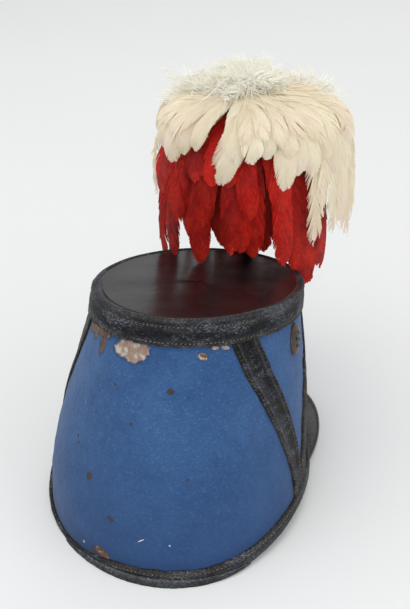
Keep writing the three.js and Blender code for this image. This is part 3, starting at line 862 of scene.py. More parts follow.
MARKS: tuple[Mark, ...] = tuple(
    Mark(*row)
    for row in (
        # kind, angle, share of the way up, half width, half height, lean, raggedness
        (BROWN, 31, 0.895, 12.5, 3.6, 4, 0.3),
        (BROWN, 41, 0.872, 6.5, 3.4, -8, 0.3),
        (BROWN, 26.8, 0.845, 2.8, 6.5, 6, 0.3),
        (BROWN, 35.5, 0.865, 3, 4, 0, 0.3),
        (PALE, 9, 0.868, 8, 5.4, -8, 0.26),
        (PALE, 0.5, 0.875, 6, 6, -10, 0.24),
        (PALE, 4, 0.852, 5, 5, 10, 0.24),
        (PALE, -37.8, 0.893, 2.4, 1.1, 0, 0.3),
        (PALE, -43, 0.888, 2.8, 1.3, 6, 0.3),
        (PALE, -31.6, 0.865, 2.9, 2.3, 10, 0.45),
        (BROWN, -31.9, 0.868, 2, 1.1, 24, 0.5),
        (HOLE, -17, 0.738, 1.9, 1.8),
        (HOLE, 21.2, 0.338, 2.1, 2.3, 20),
        (HOLE, 6.8, 0.212, 2.2, 1.1, 30, 0.4),
        (HOLE, 33.4, 0.455, 1, 0.9),
        (HOLE, 31.8, 0.432, 1, 0.9),
        (HOLE, 1.2, 0.598, 0.9, 0.8),
        (HOLE, 13, 0.725, 0.8, 0.7),
        (HOLE, -74.4, 0.425, 1.7, 1.2, 20),
        (HOLE, -26.5, 0.408, 1, 0.6),
        (BROWN, 10.5, 0.055, 5.5, 3, 20, 0.4),
        (HOLE, 14.5, 0.042, 3.6, 1.5, 20, 0.4),
        (PALE, 21.8, 0.05, 1.1, 1, 0, 0.35),
        (LINT, -8, 0.16, 2.4, 0.36, -32, 0.15),
        (LINT, -20.2, 0.152, 0.55, 0.5, 0, 0.15),
    )
)


@dataclass(frozen=True)
class ClothFinish:
    """The blue cloth, worn through in places.

    Args:
        base: its colour.
        faded: where it has faded.
        darkened: a darker blue, in blotches, between fibres, towards the bottom, next to both bands
            and round the worn places.
        light_fibre: its palest fibres.
        board: the board that shows in torn places.
        scrap: paper that still sticks to the board.
        bare: its pale backing.
        dull: the backing's darker streaks.
        blot: the brown blots on the backing.
        hole: the inside of a hole, the board darkened as painted shade.
        lint: bits of white thread.
    """

    base: Colour = tone(46, 79, 124)
    faded: Colour = tone(58, 93, 138)
    darkened: Colour = tone(38, 62, 102)
    light_fibre: Colour = tone(112, 140, 176)
    board: Colour = tone(112, 84, 66)
    scrap: Colour = tone(150, 128, 108)
    bare: Colour = tone(186, 180, 170)
    dull: Colour = tone(146, 124, 108)
    blot: Colour = tone(140, 112, 98)
    hole: Colour = tone(72, 56, 50)
    lint: Colour = tone(208, 210, 214)

    def material(self, form: HatForm, effects: Effects) -> Material:
        """The cloth as a material, with its worn places."""
        fixed = {"Roughness": 0.95, "Specular IOR Level": 0.15}
        fixed |= {"Sheen Weight": 0.12, "Sheen Roughness": 0.5}
        material, w, shader = start_material("blue wool cloth", fixed)
        place = w.object_place()
        masks, rim = self.masks(w, form, effects)
        fibre_way = w.stretched(place, (1.0, 1.0, 1.6))
        fibres = w.noise(fibre_way, 640.0, 4.0, 0.8)
        fluff = w.noise(fibre_way, 420.0, 5.0, 0.8)
        streaks = w.noise(w.stretched(place, (1.0, 1.0, 0.25)), 420.0, 4.0, 0.7)
        colour = w.mix(w.step(w.noise(place, 28.0, 5.0, 0.62), 0.3, 0.72), self.base, self.faded)
        blotch = w.step(w.noise(place, 130.0, 4.0, 0.65), 0.5, 0.72, (0.0, 0.3))
        colour = w.mix(blotch, colour, self.darkened)
        colour = w.mix(w.step(fluff, 0.5, 0.72, (0.0, 0.36)), colour, self.light_fibre)
        low = w.put("SeparateXYZ", None, {0: place}).outputs[2]
        # Darker blue between the fibres, towards the bottom, next to both bands and round the worn
        # places.
        for darkening in (
            w.step(fibres, 0.52, 0.3, (0.0, 0.6)),
            w.step(low, 0.115, 0.0, (0.0, 0.55)),
            w.times(w.painted("worn"), 0.5),
            w.times(rim, 0.55),
        ):
            colour = w.mix(darkening, colour, self.darkened)
        colour = w.mix(masks[PALE], colour, self.backing(w, place, streaks))
        colour = w.mix(masks[BROWN], colour, self.torn_board(w, place, streaks))
        # Holes: dark board, a painted shade inside each hole.
        colour = w.mix(masks[HOLE], colour, self.hole)
        w.feed(shader, "Base Color", w.mix(masks[LINT], colour, self.lint))
        gone = w.most(w.most(masks[BROWN], masks[PALE]), masks[HOLE])
        nap = w.plus(w.times(fibres, 0.35), w.times(fluff, 0.65))
        torn = w.times(gone, w.less(w.times(streaks, 0.5), 2.6))
        height = w.plus(w.times(nap, w.less(1.0, gone)), torn)
        w.relief(shader, w.plus(height, w.times(masks[LINT], 1.5)), 0.35, 0.9)
        return material

    @staticmethod
    def masks(w: Wiring, form: HatForm, effects: Effects) -> tuple[dict[MarkKind, Any], Any]:
        """Where each kind of worn place is, and the rim round all of them."""
        masks: dict[MarkKind, Any] = {}
        rim: Any = 0.0
        for mark in MARKS:
            middle, across, along = (tuple(v) for v in mark.axes(form))
            ways = {"Centre": middle, "Level": across, "Upward": along}
            sizes = {"Half Width": mark.half_width * MM, "Half Height": mark.half_height * MM}
            edge = {"Raggedness": mark.ragged, "Fineness": 1100.0 if mark.half_width < 3 else 330.0}
            patch = w.effect(effects.patch, {**ways, **sizes, **edge}).outputs
            masks[mark.kind] = w.most(masks.get(mark.kind, 0.0), patch["Mask"])
            if mark.kind is not LINT:
                rim = w.most(rim, patch["Rim"])
        return masks, rim

    def torn_board(self, w: Wiring, place: Any, streaks: Any) -> Any:
        """The colour of the streaky board, with scraps of paper on it."""
        board = w.mix(w.step(streaks, 0.35, 0.62), darker(self.board, 0.4), self.board)
        scraps = w.step(w.noise(place, 300.0, 3.0, 0.6), 0.58, 0.66)
        return w.mix(scraps, board, self.scrap)

    def backing(self, w: Wiring, place: Any, streaks: Any) -> Any:
        """The colour of the pale backing, with its brown blots."""
        backing = w.mix(w.step(streaks, 0.36, 0.62), self.dull, self.bare)
        blots = w.step(w.noise(place, 170.0, 4.0, 0.65), 0.44, 0.54)
        return w.mix(w.times(blots, 0.75), backing, self.blot)


@dataclass(frozen=True)
class PlainFinish:
    """A quiet finish with clouds and fine relief, for thread, lining, lacquer and cores.

    Args:
        name: the material's name.
        base: its colour.
        other: the colour of its clouds.
        roughness: how matt it is.
        relief: depth of its fine relief in millimetres.
        scale: waves of that relief per metre.
        metallic: how much it is metal.
    """

    name: str
    base: Colour
    other: Colour
    roughness: float
    relief: float = 0.1
    scale: float = 900.0
    metallic: float = 0.0

    def material(self) -> Material:
        """The finish as a material."""
        fixed = {"Roughness": self.roughness, "Metallic": self.metallic}
        material, w, shader = start_material(self.name, fixed)
        place = w.object_place()
        cloud = w.step(w.noise(place, self.scale / 8, 4.0, 0.6), 0.35, 0.65)
        w.feed(shader, "Base Color", w.mix(cloud, self.base, self.other))
        w.relief(shader, w.noise(place, self.scale, 3.0), self.relief, 0.6)
        return material


class Finishes:
    """Every material of the hat, made once."""

    def __init__(self, form: HatForm) -> None:
        """Makes the materials."""
        effects = Effects()
        self.cloth = ClothFinish().material(form, effects)
        self.disc = LeatherFinish(
            "crown leather", tone(26, 20, 21), tone(70, 54, 46), tone(96, 92, 92),
            roughness=0.4, coat=0.48, grain=1500.0, crack=120.0, cracking=0.0, relief=0.04,
            painted_glint=0.05,
        ).material(effects)
        self.band = LeatherFinish(
            "band leather", tone(10, 10, 12), tone(92, 78, 64), tone(96, 98, 104),
            roughness=0.55, coat=0.1, crack=190.0, cracking=0.8, wear=0.28, dustiness=0.02,
            painted_glint=1.0,
        ).material(effects)
        self.strap = LeatherFinish(
            "strap leather", tone(14, 13, 14), tone(112, 96, 76), tone(92, 88, 84),
            roughness=0.5, coat=0.15, dustiness=0.04, painted_glint=0.7,
        ).material(effects)
        self.rim = LeatherFinish(
            "lower band leather", tone(26, 25, 25), tone(84, 72, 62), tone(98, 96, 94),
            roughness=0.44, coat=0.26, grain=460.0, wear=0.35,
        ).material(effects)
        self.peak = LeatherFinish(
            "peak leather", tone(84, 85, 84), tone(112, 84, 68), tone(96, 94, 92),
            roughness=0.46, coat=0.15, grain=500.0, crack=240.0, cracking=0.5, wear=0.6,
            dustiness=0.08, relief=0.5, painted_glint=0.4,
        ).material(effects)
        self.thread = PlainFinish(
            "worn thread", tone(132, 112, 86), tone(84, 70, 54), 0.85, relief=0.08, scale=2500.0
        ).material()
        self.lining = PlainFinish(
            "plain inside", tone(94, 76, 60), tone(70, 56, 46), 0.8, relief=0.15, scale=500.0
        ).material()
        self.lacquer = PlainFinish(
            "black lacquer", tone(42, 37, 35), tone(74, 58, 48), 0.42, relief=0.05, metallic=0.25
        ).material()
        self.white = FeatherFinish(
            "white feather", tone(255, 250, 230), tone(242, 230, 204), tone(252, 240, 228),
            tone(238, 226, 194), roughness=0.8, streak=0.16,
        ).material(effects)
        self.down = FeatherFinish(
            "white down", tone(255, 253, 244), tone(250, 246, 230), tone(255, 253, 248),
            tone(250, 246, 230), roughness=0.85, streak=0.03, glow=0.3,
        ).material(effects)
        self.red = FeatherFinish(
            "red feather", tone(242, 32, 18), tone(136, 11, 9), tone(240, 56, 34),
            tone(92, 6, 5), roughness=0.6, streak=0.36,
        ).material(effects)


# The hat's pieces


@dataclass
class ClothWall:
    """The hollow wall of cloth over board, with its torn and moth-eaten places."""

    form: HatForm
    around: int = 500
    rows: int = 120
    inner_rows: int = 16
    duct_radius: float = 5.2
    duct_reach: float = 8.0
    cloth_depth: float = 0.9

    def hollows(self, angle: Array, up: Array) -> Array:
        """How deep the worn places go at each point, in millimetres."""
        form = self.form
        points = form.at(angle, up, 0.0)
        depth = np.zeros(angle.shape)
        for mark in MARKS:
            middle, across, along = mark.axes(form)
            away = points - middle
            x = away @ across / (mark.half_width * MM)
            y = away @ along / (mark.half_height * MM)
            near = np.linalg.norm(away, axis=-1) < 0.04
            reach = np.where(near, np.hypot(x, y), 9.0) + 0.25 * ripple(points, 3.0, 5)
            if mark.kind is LINT:
                depth = np.minimum(depth, -0.3 * (1 - smooth(reach, 0.6, 1.2)))
                continue
            sunk = self.cloth_depth * (1 - smooth(reach, 0.8, 1.1))
            lip = 0.3 * smooth(reach, 0.9, 1.1) * (1 - smooth(reach, 1.15, 1.5))
            depth = np.where(sunk > 0.05, np.maximum(depth, sunk), depth - lip)
        return depth

    def build(self, finishes: Finishes) -> None:
        """Makes the wall as one closed body."""
        form = self.form
        angle = full_ring(self.around)
        foot = form.bottom_turn + form.gap
        top = form.slope(angle) - (form.fold + form.gap + form.disc + form.gap)
        up = foot + (top - foot)[:, None] * np.linspace(0, 1, self.rows)
        turn = np.broadcast_to(angle[:, None], up.shape)
        flat = form.at(turn, up, 0.0)
        edge = form.slope(turn) - up
        free = smooth(up, form.bottom_band - 1, form.bottom_band + 4)
        free = free * smooth(edge, form.top_band - 1, form.top_band + 5)
        waves = 0.28 * ripple(flat, 26.0, 1) + 0.1 * ripple(flat, 7.0, 2)
        hollow = self.hollows(turn, up)
        outer = form.at(turn, up, waves * free - hollow * (0.25 + 0.75 * free))
        inner_up = foot + (top - foot)[:, None] * np.linspace(1, 0, self.inner_rows)
        inner = form.at(turn[:, :1], inner_up, -form.wall)
        # The cloth's worn value darkens it next to both bands.
        darkened = 1 - smooth(up, form.bottom_band, form.bottom_band + 7)
        darkened = np.maximum(darkened, 0.7 * (1 - smooth(edge, form.top_band, form.top_band + 4)))
        worn = np.concatenate([darkened, np.zeros(inner_up.shape)], 1)
        draft = Draft()
        draft.grid(np.concatenate([outer, inner], 1), ring=True, round_section=True, worn=worn)
        columns = np.arange(len(draft.faces)) % worn.shape[1]
        draft.parts = np.where(columns < self.rows - 1, 0, 1).tolist()
        materials = [finishes.cloth, finishes.lining]
        piece = draft.piece("cloth_wall", materials, "cloth", ["body_shell"])
        ducts = Draft()
        for side in (-1, 1):
            ducts.rod(form.vent_axes(side), self.duct_radius, 24, (self.duct_reach,) * 2)
        ducts.cut_from(piece, "FAST")


@dataclass
class Crown:
    """The flat leather top."""

    form: HatForm
    around: int = 260
    step: float = 0.35
    lap: float = 0.12

    def build(self, finishes: Finishes) -> None:
        """Makes the disc as a closed plate with a slightly uneven face."""
        form = self.form
        angle = full_ring(self.around)
        rim = form.crown(angle, np.zeros(self.around))
        centre = rim.mean(0)
        tilt = math.radians(form.crown_tilt)
        normal = np.array([0.0, -math.sin(tilt), math.cos(tilt)])
        share = np.concatenate([np.linspace(0.02, 0.91, 26), np.linspace(0.92, 1, 34)])
        points = form.place(centre + (rim - centre)[:, None, :] * share[None, :, None])
        lumps = 0.12 * ripple(points, 45.0, 11) + 0.03 * ripple(points, 12.0, 12)
        lapped = (1 - smooth(np.abs(angle - math.pi), 1.75, 2.4))[:, None]
        inside = 1 - smooth(share[None, :] - 0.052 * lapped, 0.925, 0.94)
        step = self.step - (self.step + self.lap) * lapped
        sunk = step + (form.fold + form.gap - step) * (1 - inside)
        top = points + normal * ((lumps * inside - sunk) * MM)[..., None]
        under = points - normal * ((form.fold + form.gap + form.disc) * MM)
        section = np.concatenate([top, under[:, ::-1]], 1)
        worn = np.concatenate([0.3 * smooth(share, 0.85, 0.95), np.zeros(len(share))])
        draft = Draft()
        draft.grid(section, ring=True, worn=worn)
        draft.close_rows(*section.shape[:2])
        draft.piece("crown_leather", [finishes.disc], "leather", ["crown_disc"])


# Highlights painted along the ridges of the top band and the lower band.
TOP_PAINTED_SHINE = (
    # way down in millimetres, painted shine
    (-1, 0.5), (-0.8, 0.5), (0.3, 0.6), (2, 0.1), (3, 0.7), (3.7, 0), (4.3, 0.5), (6, 0.2),
    (10, 0.15), (12.7, 0.5), (13.3, 0), (14.2, 0.6), (15.7, 0.1),
)
RIM_PAINTED_SHINE = (
    # share of the band's height, painted shine
    (0, 0), (0.1, 0.5), (0.3, 0.5), (0.62, 0.2), (0.7, 0.6), (0.76, 0), (0.82, 0.6), (1, 0),
)


@dataclass
class TopBand:
    """The band round the top, folded over the disc, with its two rows of stitches."""

    form: HatForm
    around: int = 420
    fold_width: float = 4.5
    bead_height: float = 0.8
    bead_lip: float = 0.5
    stitch_spacing: float = 2.6
    scuff_turn: float = 4.8

    def out(self, down: Array) -> Array:
        """How far out the face of the band lies."""
        form = self.form
        return form.gap + form.band + form.top_flare * np.asarray(down, float) / form.top_band

    def profile(self) -> Array:
        """Way down, way out and wear, along the section from the lower edge over the bead."""
        t, face = self.form.top_band, self.out
        rows = [
            (t, face(t) - 0.9, 1), (t - 0.25, face(t) - 0.3, 1), (t - 0.9, face(t), 0.9),
            (t - 1.8, face(t) - 0.05, 0.3), (t - 2.4, face(t) - 0.32, 0.1),
            (t - 3, face(t) - 0.02, 0.15), (t * 0.66, face(t) + 0.1, 0.05),
            (t * 0.5, face(t) + 0.16, 0.05), (t * 0.36, face(t) + 0.08, 0.05),
            (4.3, face(4.3), 0.1), (3.7, face(3.7) - 0.3, 0.1), (3.1, face(3.1) - 0.02, 0.3),
            (2.2, face(0) + 0.22, 0.3), (1.2, face(0) + self.bead_lip, 0.35),
            (0.3, face(0) + 0.42, 0.5), (-0.45, face(0) - 0.05, 0.8),
            (-self.bead_height, face(0) - 0.7, 0.8), (-self.bead_height, face(0) - 1.5, 0.5),
            (-self.bead_height * 0.55, face(0) - 2.3, 0.3), (-0.02, face(0) - 2.9, 0.2),
            (0.12, face(0) - 3.3, 0.1), (0, face(0) - 4.2, 0.25),
            (0, -self.fold_width + 0.6, 0.5), (0.25, -self.fold_width + 0.1, 0.9),
            (self.form.fold, -self.fold_width, 0.5), (self.form.fold, self.form.gap, 0),
            (t * 0.5, self.form.gap, 0), (t, self.form.gap, 0),
        ]
        return np.array(rows, float)

    def build(self, finishes: Finishes) -> None:
        """Makes the band and its stitches."""
        form = self.form
        rows = self.profile()
        turn = full_ring(self.around)[:, None]
        down = np.broadcast_to(rows[:, 0], (self.around, len(rows))).copy()
        out = np.broadcast_to(rows[:, 1], down.shape).copy()
        face = form.below(turn, down, out)
        lumps = 0.16 * ripple(face, 13.0, 21) + 0.08 * ripple(face, 4.0, 22)
        out += np.where(rows[:, 1] > form.gap + 0.8, lumps, 0)
        hem = 0.45 * ripple(face[:, :1], 9.0, 23) + 0.2 * ripple(face[:, :1], 3.0, 24)
        down += np.where(rows[:, 0] > form.top_band - 1.0, hem, 0) * (rows[:, 1] > form.gap)
        near = np.exp(-(((turn - math.radians(self.scuff_turn)) / 0.06) ** 2))
        worn = np.maximum(rows[:, 2], 2.2 * near * (np.abs(rows[:, 0] + 0.4) < 0.6))
        # Highlights painted on the ridges of the band, from the table.
        points, shine = form.below(turn, down, out), read_off(TOP_PAINTED_SHINE, rows[:, 0])
        draft = Draft()
        draft.grid(points, ring=True, round_section=True, worn=worn, shine=shine)
        draft.piece("top_band_leather", [finishes.band], "leather", ["top_band"])
        thread = Draft()
        ring = np.linspace(0, FULL_TURN, 721)
        for depth, lift, seed in ((form.top_band - 2.4, -0.22, 1), (3.7, -0.2, 2)):
            path = form.below(ring, depth, self.out(depth) + lift)
            outward = unit(form.below(ring, depth, 5.0) - form.below(ring, depth, 0.0))
            stitches(thread, path, outward, self.stitch_spacing, (1.7, 0.55), seed)
        fold = form.below(ring, -0.02, -2.2)
        upward = unit(form.below(ring, -5.0, -2.2) - form.below(ring, 0.0, -2.2))
        stitches(thread, fold, upward, self.stitch_spacing, (1.6, 0.5), 3)
        thread.piece("top_band_stitches", [finishes.thread], "strap_leather")


@dataclass
class BottomBand:
    """The band round the lower edge, the second layer at the back, and the stitches."""

    form: HatForm
    around: int = 440
    strip_half_arc: float = 43.0
    strip_turn: float = -10.0
    strip_height: float = 5.0
    strip_thickness: float = 1.8
    strip_end: float = 0.12
    stitch_spacing: float = 2.7

    def build(self, finishes: Finishes) -> None:
        """Makes the band, the strip at the back and the stitches."""
        self.band(finishes)
        self.strip(finishes)
        form = self.form
        thread = Draft()
        ring = np.linspace(math.radians(85), math.radians(375), 581)
        up = form.band_top(ring) - 2.0
        path = form.at(ring, up, form.gap + form.band - 0.1)
        outward = unit(form.at(ring, up, 5.0) - form.at(ring, up, 0.0))
        stitches(thread, path, outward, self.stitch_spacing, (1.7, 0.6), 5)
        thread.piece("bottom_band_stitches", [finishes.thread], "strap_leather")

    def band(self, finishes: Finishes) -> None:
        """Makes the band, turned in under the wall."""
        form = self.form
        face = form.gap + form.band
        top = form.shown_band
        rows = np.array([
            (0, -form.wall, 0), (0, face - 1, 0.6), (0.03, face - 0.35, 0.9),
            (0.1, face - 0.02, 0.7), (0.25, face + 0.08, 0.3), (0.45, face + 0.12, 0.1),
            (0.62, face + 0.02, 0.1), (0.7, face - 0.02, 0.1), (0.76, face - 0.28, 0.1),
            (0.82, face - 0.1, 0.4), (0.92, face - 0.4, 0.8), (0.98, face - 1, 1),
            (1, face - 1.4, 1), (1, form.gap, 0.3), (form.bottom_turn / top, form.gap, 0),
            (form.bottom_turn / top, -form.wall, 0),
        ])
        turn = full_ring(self.around)[:, None]
        up = rows[:, 0] * form.band_top(turn)
        out = np.broadcast_to(rows[:, 1], up.shape).copy()
        flat = form.at(turn, up, out)
        lumps = 0.14 * ripple(flat, 15.0, 31) + 0.08 * ripple(flat, 4.0, 32)
        out += np.where(rows[:, 1] > face - 0.5, lumps, 0)
        hem = 0.3 * ripple(flat[:, :1], 10.0, 33) + 0.15 * ripple(flat[:, :1], 3.5, 34)
        up += np.where(rows[:, 0] > 0.9, hem, 0)
        # Highlights painted on the ridges of the lower band, from the table.
        points, shine = form.at(turn, up, out), read_off(RIM_PAINTED_SHINE, rows[:, 0])
        draft = Draft()
        draft.grid(points, ring=True, round_section=True, worn=rows[:, 2], shine=shine)
        draft.piece("bottom_band_leather", [finishes.rim], "leather", ["bottom_band"])

    def strip(self, finishes: Finishes) -> None:
        """Makes the lower layer, which thins out towards both ends."""
        form = self.form
        inner = form.gap + form.band + form.gap
        middle, reach = math.radians(self.strip_turn), math.radians(self.strip_half_arc)
        angle = np.linspace(middle - reach, middle + reach, 160)
        fullness = np.sqrt(np.maximum(0, 1 - ((angle - middle) / reach) ** 2))
        share = np.maximum(self.strip_end, fullness)[:, None]
        rows = np.array([
            # share of the height, of the thickness, wear and painted shine
            (0, 0, 0, 0), (0, 0.75, 0.8, 0), (0.08, 0.95, 0.9, 0.2), (0.3, 1, 0.4, 0.5),
            (0.55, 1, 0.2, 0.5), (0.8, 0.95, 0.4, 0.6), (0.94, 0.75, 1, 1), (1, 0.35, 1, 0.8),
            (1, 0, 0.5, 0),
        ])
        up = self.strip_height * share * rows[:, 0]
        out = inner + self.strip_thickness * share * rows[:, 1]
        flat = form.at(angle[:, None], up, out)
        out = out + np.where(rows[:, 1] > 0.3, 0.12 * ripple(flat, 8.0, 41) * share, 0)
        points, worn = form.at(angle[:, None], up, out), rows[:, 2] * 0.5
        draft = Draft()
        # The last column paints highlights on the strip.
        draft.grid(points, round_section=True, caps=True, worn=worn, shine=rows[:, 3])
        draft.piece("neck_strip_leather", [finishes.strap], "strap_leather", ["neck_strip"])


STRAP_ROWS = (
    # way down, outer edge and inner edge in degrees from the middle of the V
    (0, 46, 30.5), (0.17, 38.5, 23.5), (0.34, 29.5, 16), (0.51, 22, 10), (0.68, 15.5, 5),
    (0.84, 10.5, 1.2), (0.92, 8.6, 0.3), (1, 8, 0.3),
)
STRAP_NAMES = {
    # side of the hat, arm of the V
    (-1, -1): "strap_rear_right",
    (-1, 1): "strap_front_right",
    (1, -1): "strap_rear_left",
    (1, 1): "strap_front_left",
}


@dataclass
class Straps:
    """The straps that form a V on each side."""

    form: HatForm
    thickness: float = 1.1
    stations: int = 90
    stitch_inset: float = 1.7
    stitch_spacing: float = 2.9

    def place(self, side: int, arm: int, down: Array, across: Array, out: Array) -> Array:
        """A point of a strap, from its way down, its way across and its way out."""
        form = self.form
        outer, inner = read_off(STRAP_ROWS, down, 1), read_off(STRAP_ROWS, down, 2)
        spread = np.radians(inner + (outer - inner) * across)
        angle = side * (math.radians(form.strap_apex) + arm * spread)
        top = form.slope(angle) - form.top_band - form.gap
        foot = form.band_top(angle) + 0.2
        return form.at(angle, top + (foot - top) * down, out)

    def build(self, finishes: Finishes) -> None:
        """Makes the four straps and their stitches."""
        thread = Draft()
        for (side, arm), name in STRAP_NAMES.items():
            self.strap(side, arm, name, finishes)
            self.seams(side, arm, thread)
        thread.piece("strap_stitches", [finishes.thread], "strap_leather")

    def strap(self, side: int, arm: int, name: str, finishes: Finishes) -> None:
        """Makes one strap with rounded edges and a raised line beside each."""
        half = (
            # share of the way across, way out past the face, wear
            (0, -0.8, 1), (0.004, -0.45, 1), (0.02, 0, 0.9), (0.05, 0.12, 0.6), (0.09, 0.06, 0.3),
            (0.12, -0.22, 0.2), (0.15, 0, 0.2), (0.2, 0.3, 0.25), (0.26, 0.05, 0.1),
            (0.38, -0.05, 0.05),
        )
        other = [(1 - share, out, wear) for share, out, wear in half[::-1]]
        under = [(share, -1.1, 0.3 if share in (0, 1) else 0) for share in (1, 0.75, 0.5, 0.25, 0)]
        rows = np.array([*half, (0.5, -0.08, 0.05), *other, *under])
        across = np.broadcast_to(rows[:, 0], (self.stations, len(rows)))
        way = np.linspace(0, 1, self.stations)[:, None]
        down = np.broadcast_to(way, across.shape)
        out = self.form.gap + self.thickness + np.broadcast_to(rows[:, 1], across.shape)
        out = np.maximum(out, self.form.gap)
        flat = self.place(side, arm, down, across, out)
        front = rows[:, 1] > -1.0
        out = out + np.where(front, 0.12 * ripple(flat, 9.0, 51) + 0.06 * ripple(flat, 3, 52), 0)
        wander = 0.012 * ripple(flat, 12.0, 53) + 0.006 * ripple(flat, 4.0, 54)
        across = across + wander * np.where((across < 0.1) | (across > 0.9), 1, 0.3)
        worn = rows[:, 2] * (0.35 + 0.65 * smooth(way, 0.2, 0.6))
        # Highlights painted along the two raised lines and as a soft band across the strap.
        ridges = sum(np.exp(-(((rows[:, 0] - line) / 0.05) ** 2)) for line in (0.2, 0.8))
        soft = 0.4 * np.exp(-(((rows[:, 0] - 0.62) / 0.16) ** 2)) * smooth(way, 0.05, 0.3)
        shine = (0.7 * ridges + soft) * front
        points = self.place(side, arm, down, across, out)
        draft = Draft()
        draft.grid(points, round_section=True, caps=True, worn=worn, shine=shine)
        draft.piece(name + "_leather", [finishes.strap], "strap_leather", [name])

    def seams(self, side: int, arm: int, thread: Draft) -> None:
        """Adds the two rows of stitches of one strap."""
        down = np.linspace(0.01, 0.985, 200)
        edges = self.place(side, arm, down, np.zeros(200), np.zeros(200))
        others = self.place(side, arm, down, np.ones(200), np.zeros(200))
        width = np.linalg.norm(edges - others, axis=1) / MM
        inset = np.minimum(0.28, self.stitch_inset / width)
        lift = self.form.gap + self.thickness - 0.1
        for across in (inset, 1 - inset):
            path = self.place(side, arm, down, across, np.full(200, lift))
            outward = unit(self.place(side, arm, down, across, np.full(200, 6.0)) - path)
            stitches(thread, path, outward, self.stitch_spacing, (1.6, 0.5), 60 + side * 3 + arm)


@dataclass
class Peak:
    """The leather peak with its bound edge."""

    form: HatForm
    half_arc: float = 61.0
    length: float = 56.0
    thickness: float = 2.2
    arch: float = 3.0
    fullness: float = 2.1
    lip: float = 0.8
    stations: int = 150

    def build(self, finishes: Finishes) -> None:
        """Makes the peak from sections that run out from the lower band."""
        form = self.form
        face = form.gap + form.band
        seat = form.rim_lift - form.gap - self.thickness
        turn = np.linspace(-1, 1, self.stations)
        angle = math.pi + math.radians(self.half_arc) * turn
        margin = form.rim(angle, -form.wall)
        root = form.rim(angle, face)
        margin[:, 2] = seat
        root[:, 2] = seat
        end = form.rim(math.pi + np.sign(turn) * math.radians(self.half_arc), face + self.lip)
        reach = form.rim_front + self.length + end[:, 1]
        side = np.abs(np.sin(turn * math.pi / 2))
        ahead = np.maximum(0, 1 - side**self.fullness) ** (1 / self.fullness)
        edge = np.stack([side * end[:, 0], end[:, 1] - reach * ahead, seat * side * side], -1)
        far = np.linalg.norm(edge - root, axis=1)
        arch = self.arch * np.minimum(1, 2 * far / self.length)
        columns = np.array([
            # share of the way out, thickness, arch, wear
            (0, 1, 0, 0.1), (0.08, 1, 0.3, 0.1), (0.22, 1, 0.75, 0.1), (0.38, 1, 0.94, 0.05),
            (0.55, 1, 1, 0.05), (0.72, 1, 0.75, 0.1), (0.84, 1, 0.45, 0.3), (0.89, 1, 0.33, 0.9),
            (0.905, 1.3, 0.28, 0.6), (0.93, 1.42, 0.2, 0.3), (0.96, 1.42, 0.08, 0.3),
            (0.985, 1.2, 0.02, 0.5), (1, 0.7, 0, 0.7),
        ])
        low = root[:, None] + (edge - root)[:, None] * columns[None, :, :1]
        low[..., 2] += arch[:, None] * columns[:, 2]
        high = low.copy()
        high[..., 2] += self.thickness * columns[:, 1]
        margin_top = margin.copy()
        margin_top[:, 2] += self.thickness
        section = np.concatenate([margin[:, None], low, high[:, ::-1], margin_top[:, None]], 1)
        wear = columns[:, 3]
        worn = np.concatenate([[0], wear * 0.5, wear[::-1], [0]])
        draft = Draft()
        draft.grid(form.place(section), round_section=True, caps=True, worn=worn)
        draft.piece("peak_leather", [finishes.peak], "leather", ["peak"])


@dataclass
class Vents:
    """The two domed ventilators with their ring of round holes."""

    form: HatForm
    half_height: float = 10.0
    half_width: float = 8.6
    dome: float = 3.4
    wall: float = 1.1
    hole_radius: float = 1.15
    hole_circle: float = 4.6
    hole_reach: tuple[float, float] = (4.0, 9.0)
    holes: int = 6
    sides: int = 40
    rings: int = 9

    def build(self, finishes: Finishes) -> None:
        """Makes both domes with holes cut through."""
        outer = self.cup(self.half_height, self.dome)
        inner = self.cup(self.half_height - self.wall, self.dome - self.wall)
        rows = np.concatenate([outer, inner[::-1]])
        radius, rise = rows[:, 0, None] * MM, rows[:, 1, None] * MM
        narrow = self.half_width / self.half_height
        turns = full_ring(self.sides)[:, None, None]
        for side, name in ((-1, "vent_right"), (1, "vent_left")):
            axes = self.form.vent_axes(side)
            middle, level, upward, outward = axes
            points = (
                middle
                + np.cos(turns) * radius * narrow * level
                + np.sin(turns) * radius * upward
                + rise * outward
            )
            draft = Draft()
            draft.grid(points, ring=True)
            draft.close_rows(*points.shape[:2])
            piece = draft.piece(name + "_dome", [finishes.lacquer], "vent_metal", [name])
            self.pierce(piece, axes)

    def cup(self, radius: float, height: float) -> Array:
        """Half outline of a dome with a flat lip at its edge."""
        turn = np.linspace(0.06, math.pi / 2, self.rings)
        return np.stack([np.sin(turn) * radius, self.form.gap + np.cos(turn) ** 0.9 * height], -1)

    def pierce(self, piece: Object, axes: Sequence[Array]) -> None:
        """Cuts the ring of holes and the one in the middle."""
        middle, level, upward, outward = axes
        rods = Draft()
        turns = (np.arange(self.holes) + 0.5) / self.holes * FULL_TURN
        ring = self.hole_circle * np.stack([np.cos(turns), np.sin(turns)], -1)
        for x, y in ((0.0, 0.0), *ring):
            here = middle + (x * level + y * upward) * MM
            rods.rod((here, level, upward, outward), self.hole_radius, 14, self.hole_reach)
        rods.cut_from(piece, "EXACT")


# The plume


class Vane(Enum):
    """How a feather's barbs lie."""

    BROAD = "broad"
    LOOSE = "loose"
    DOWN = "down"


BROAD, LOOSE, DOWN = Vane


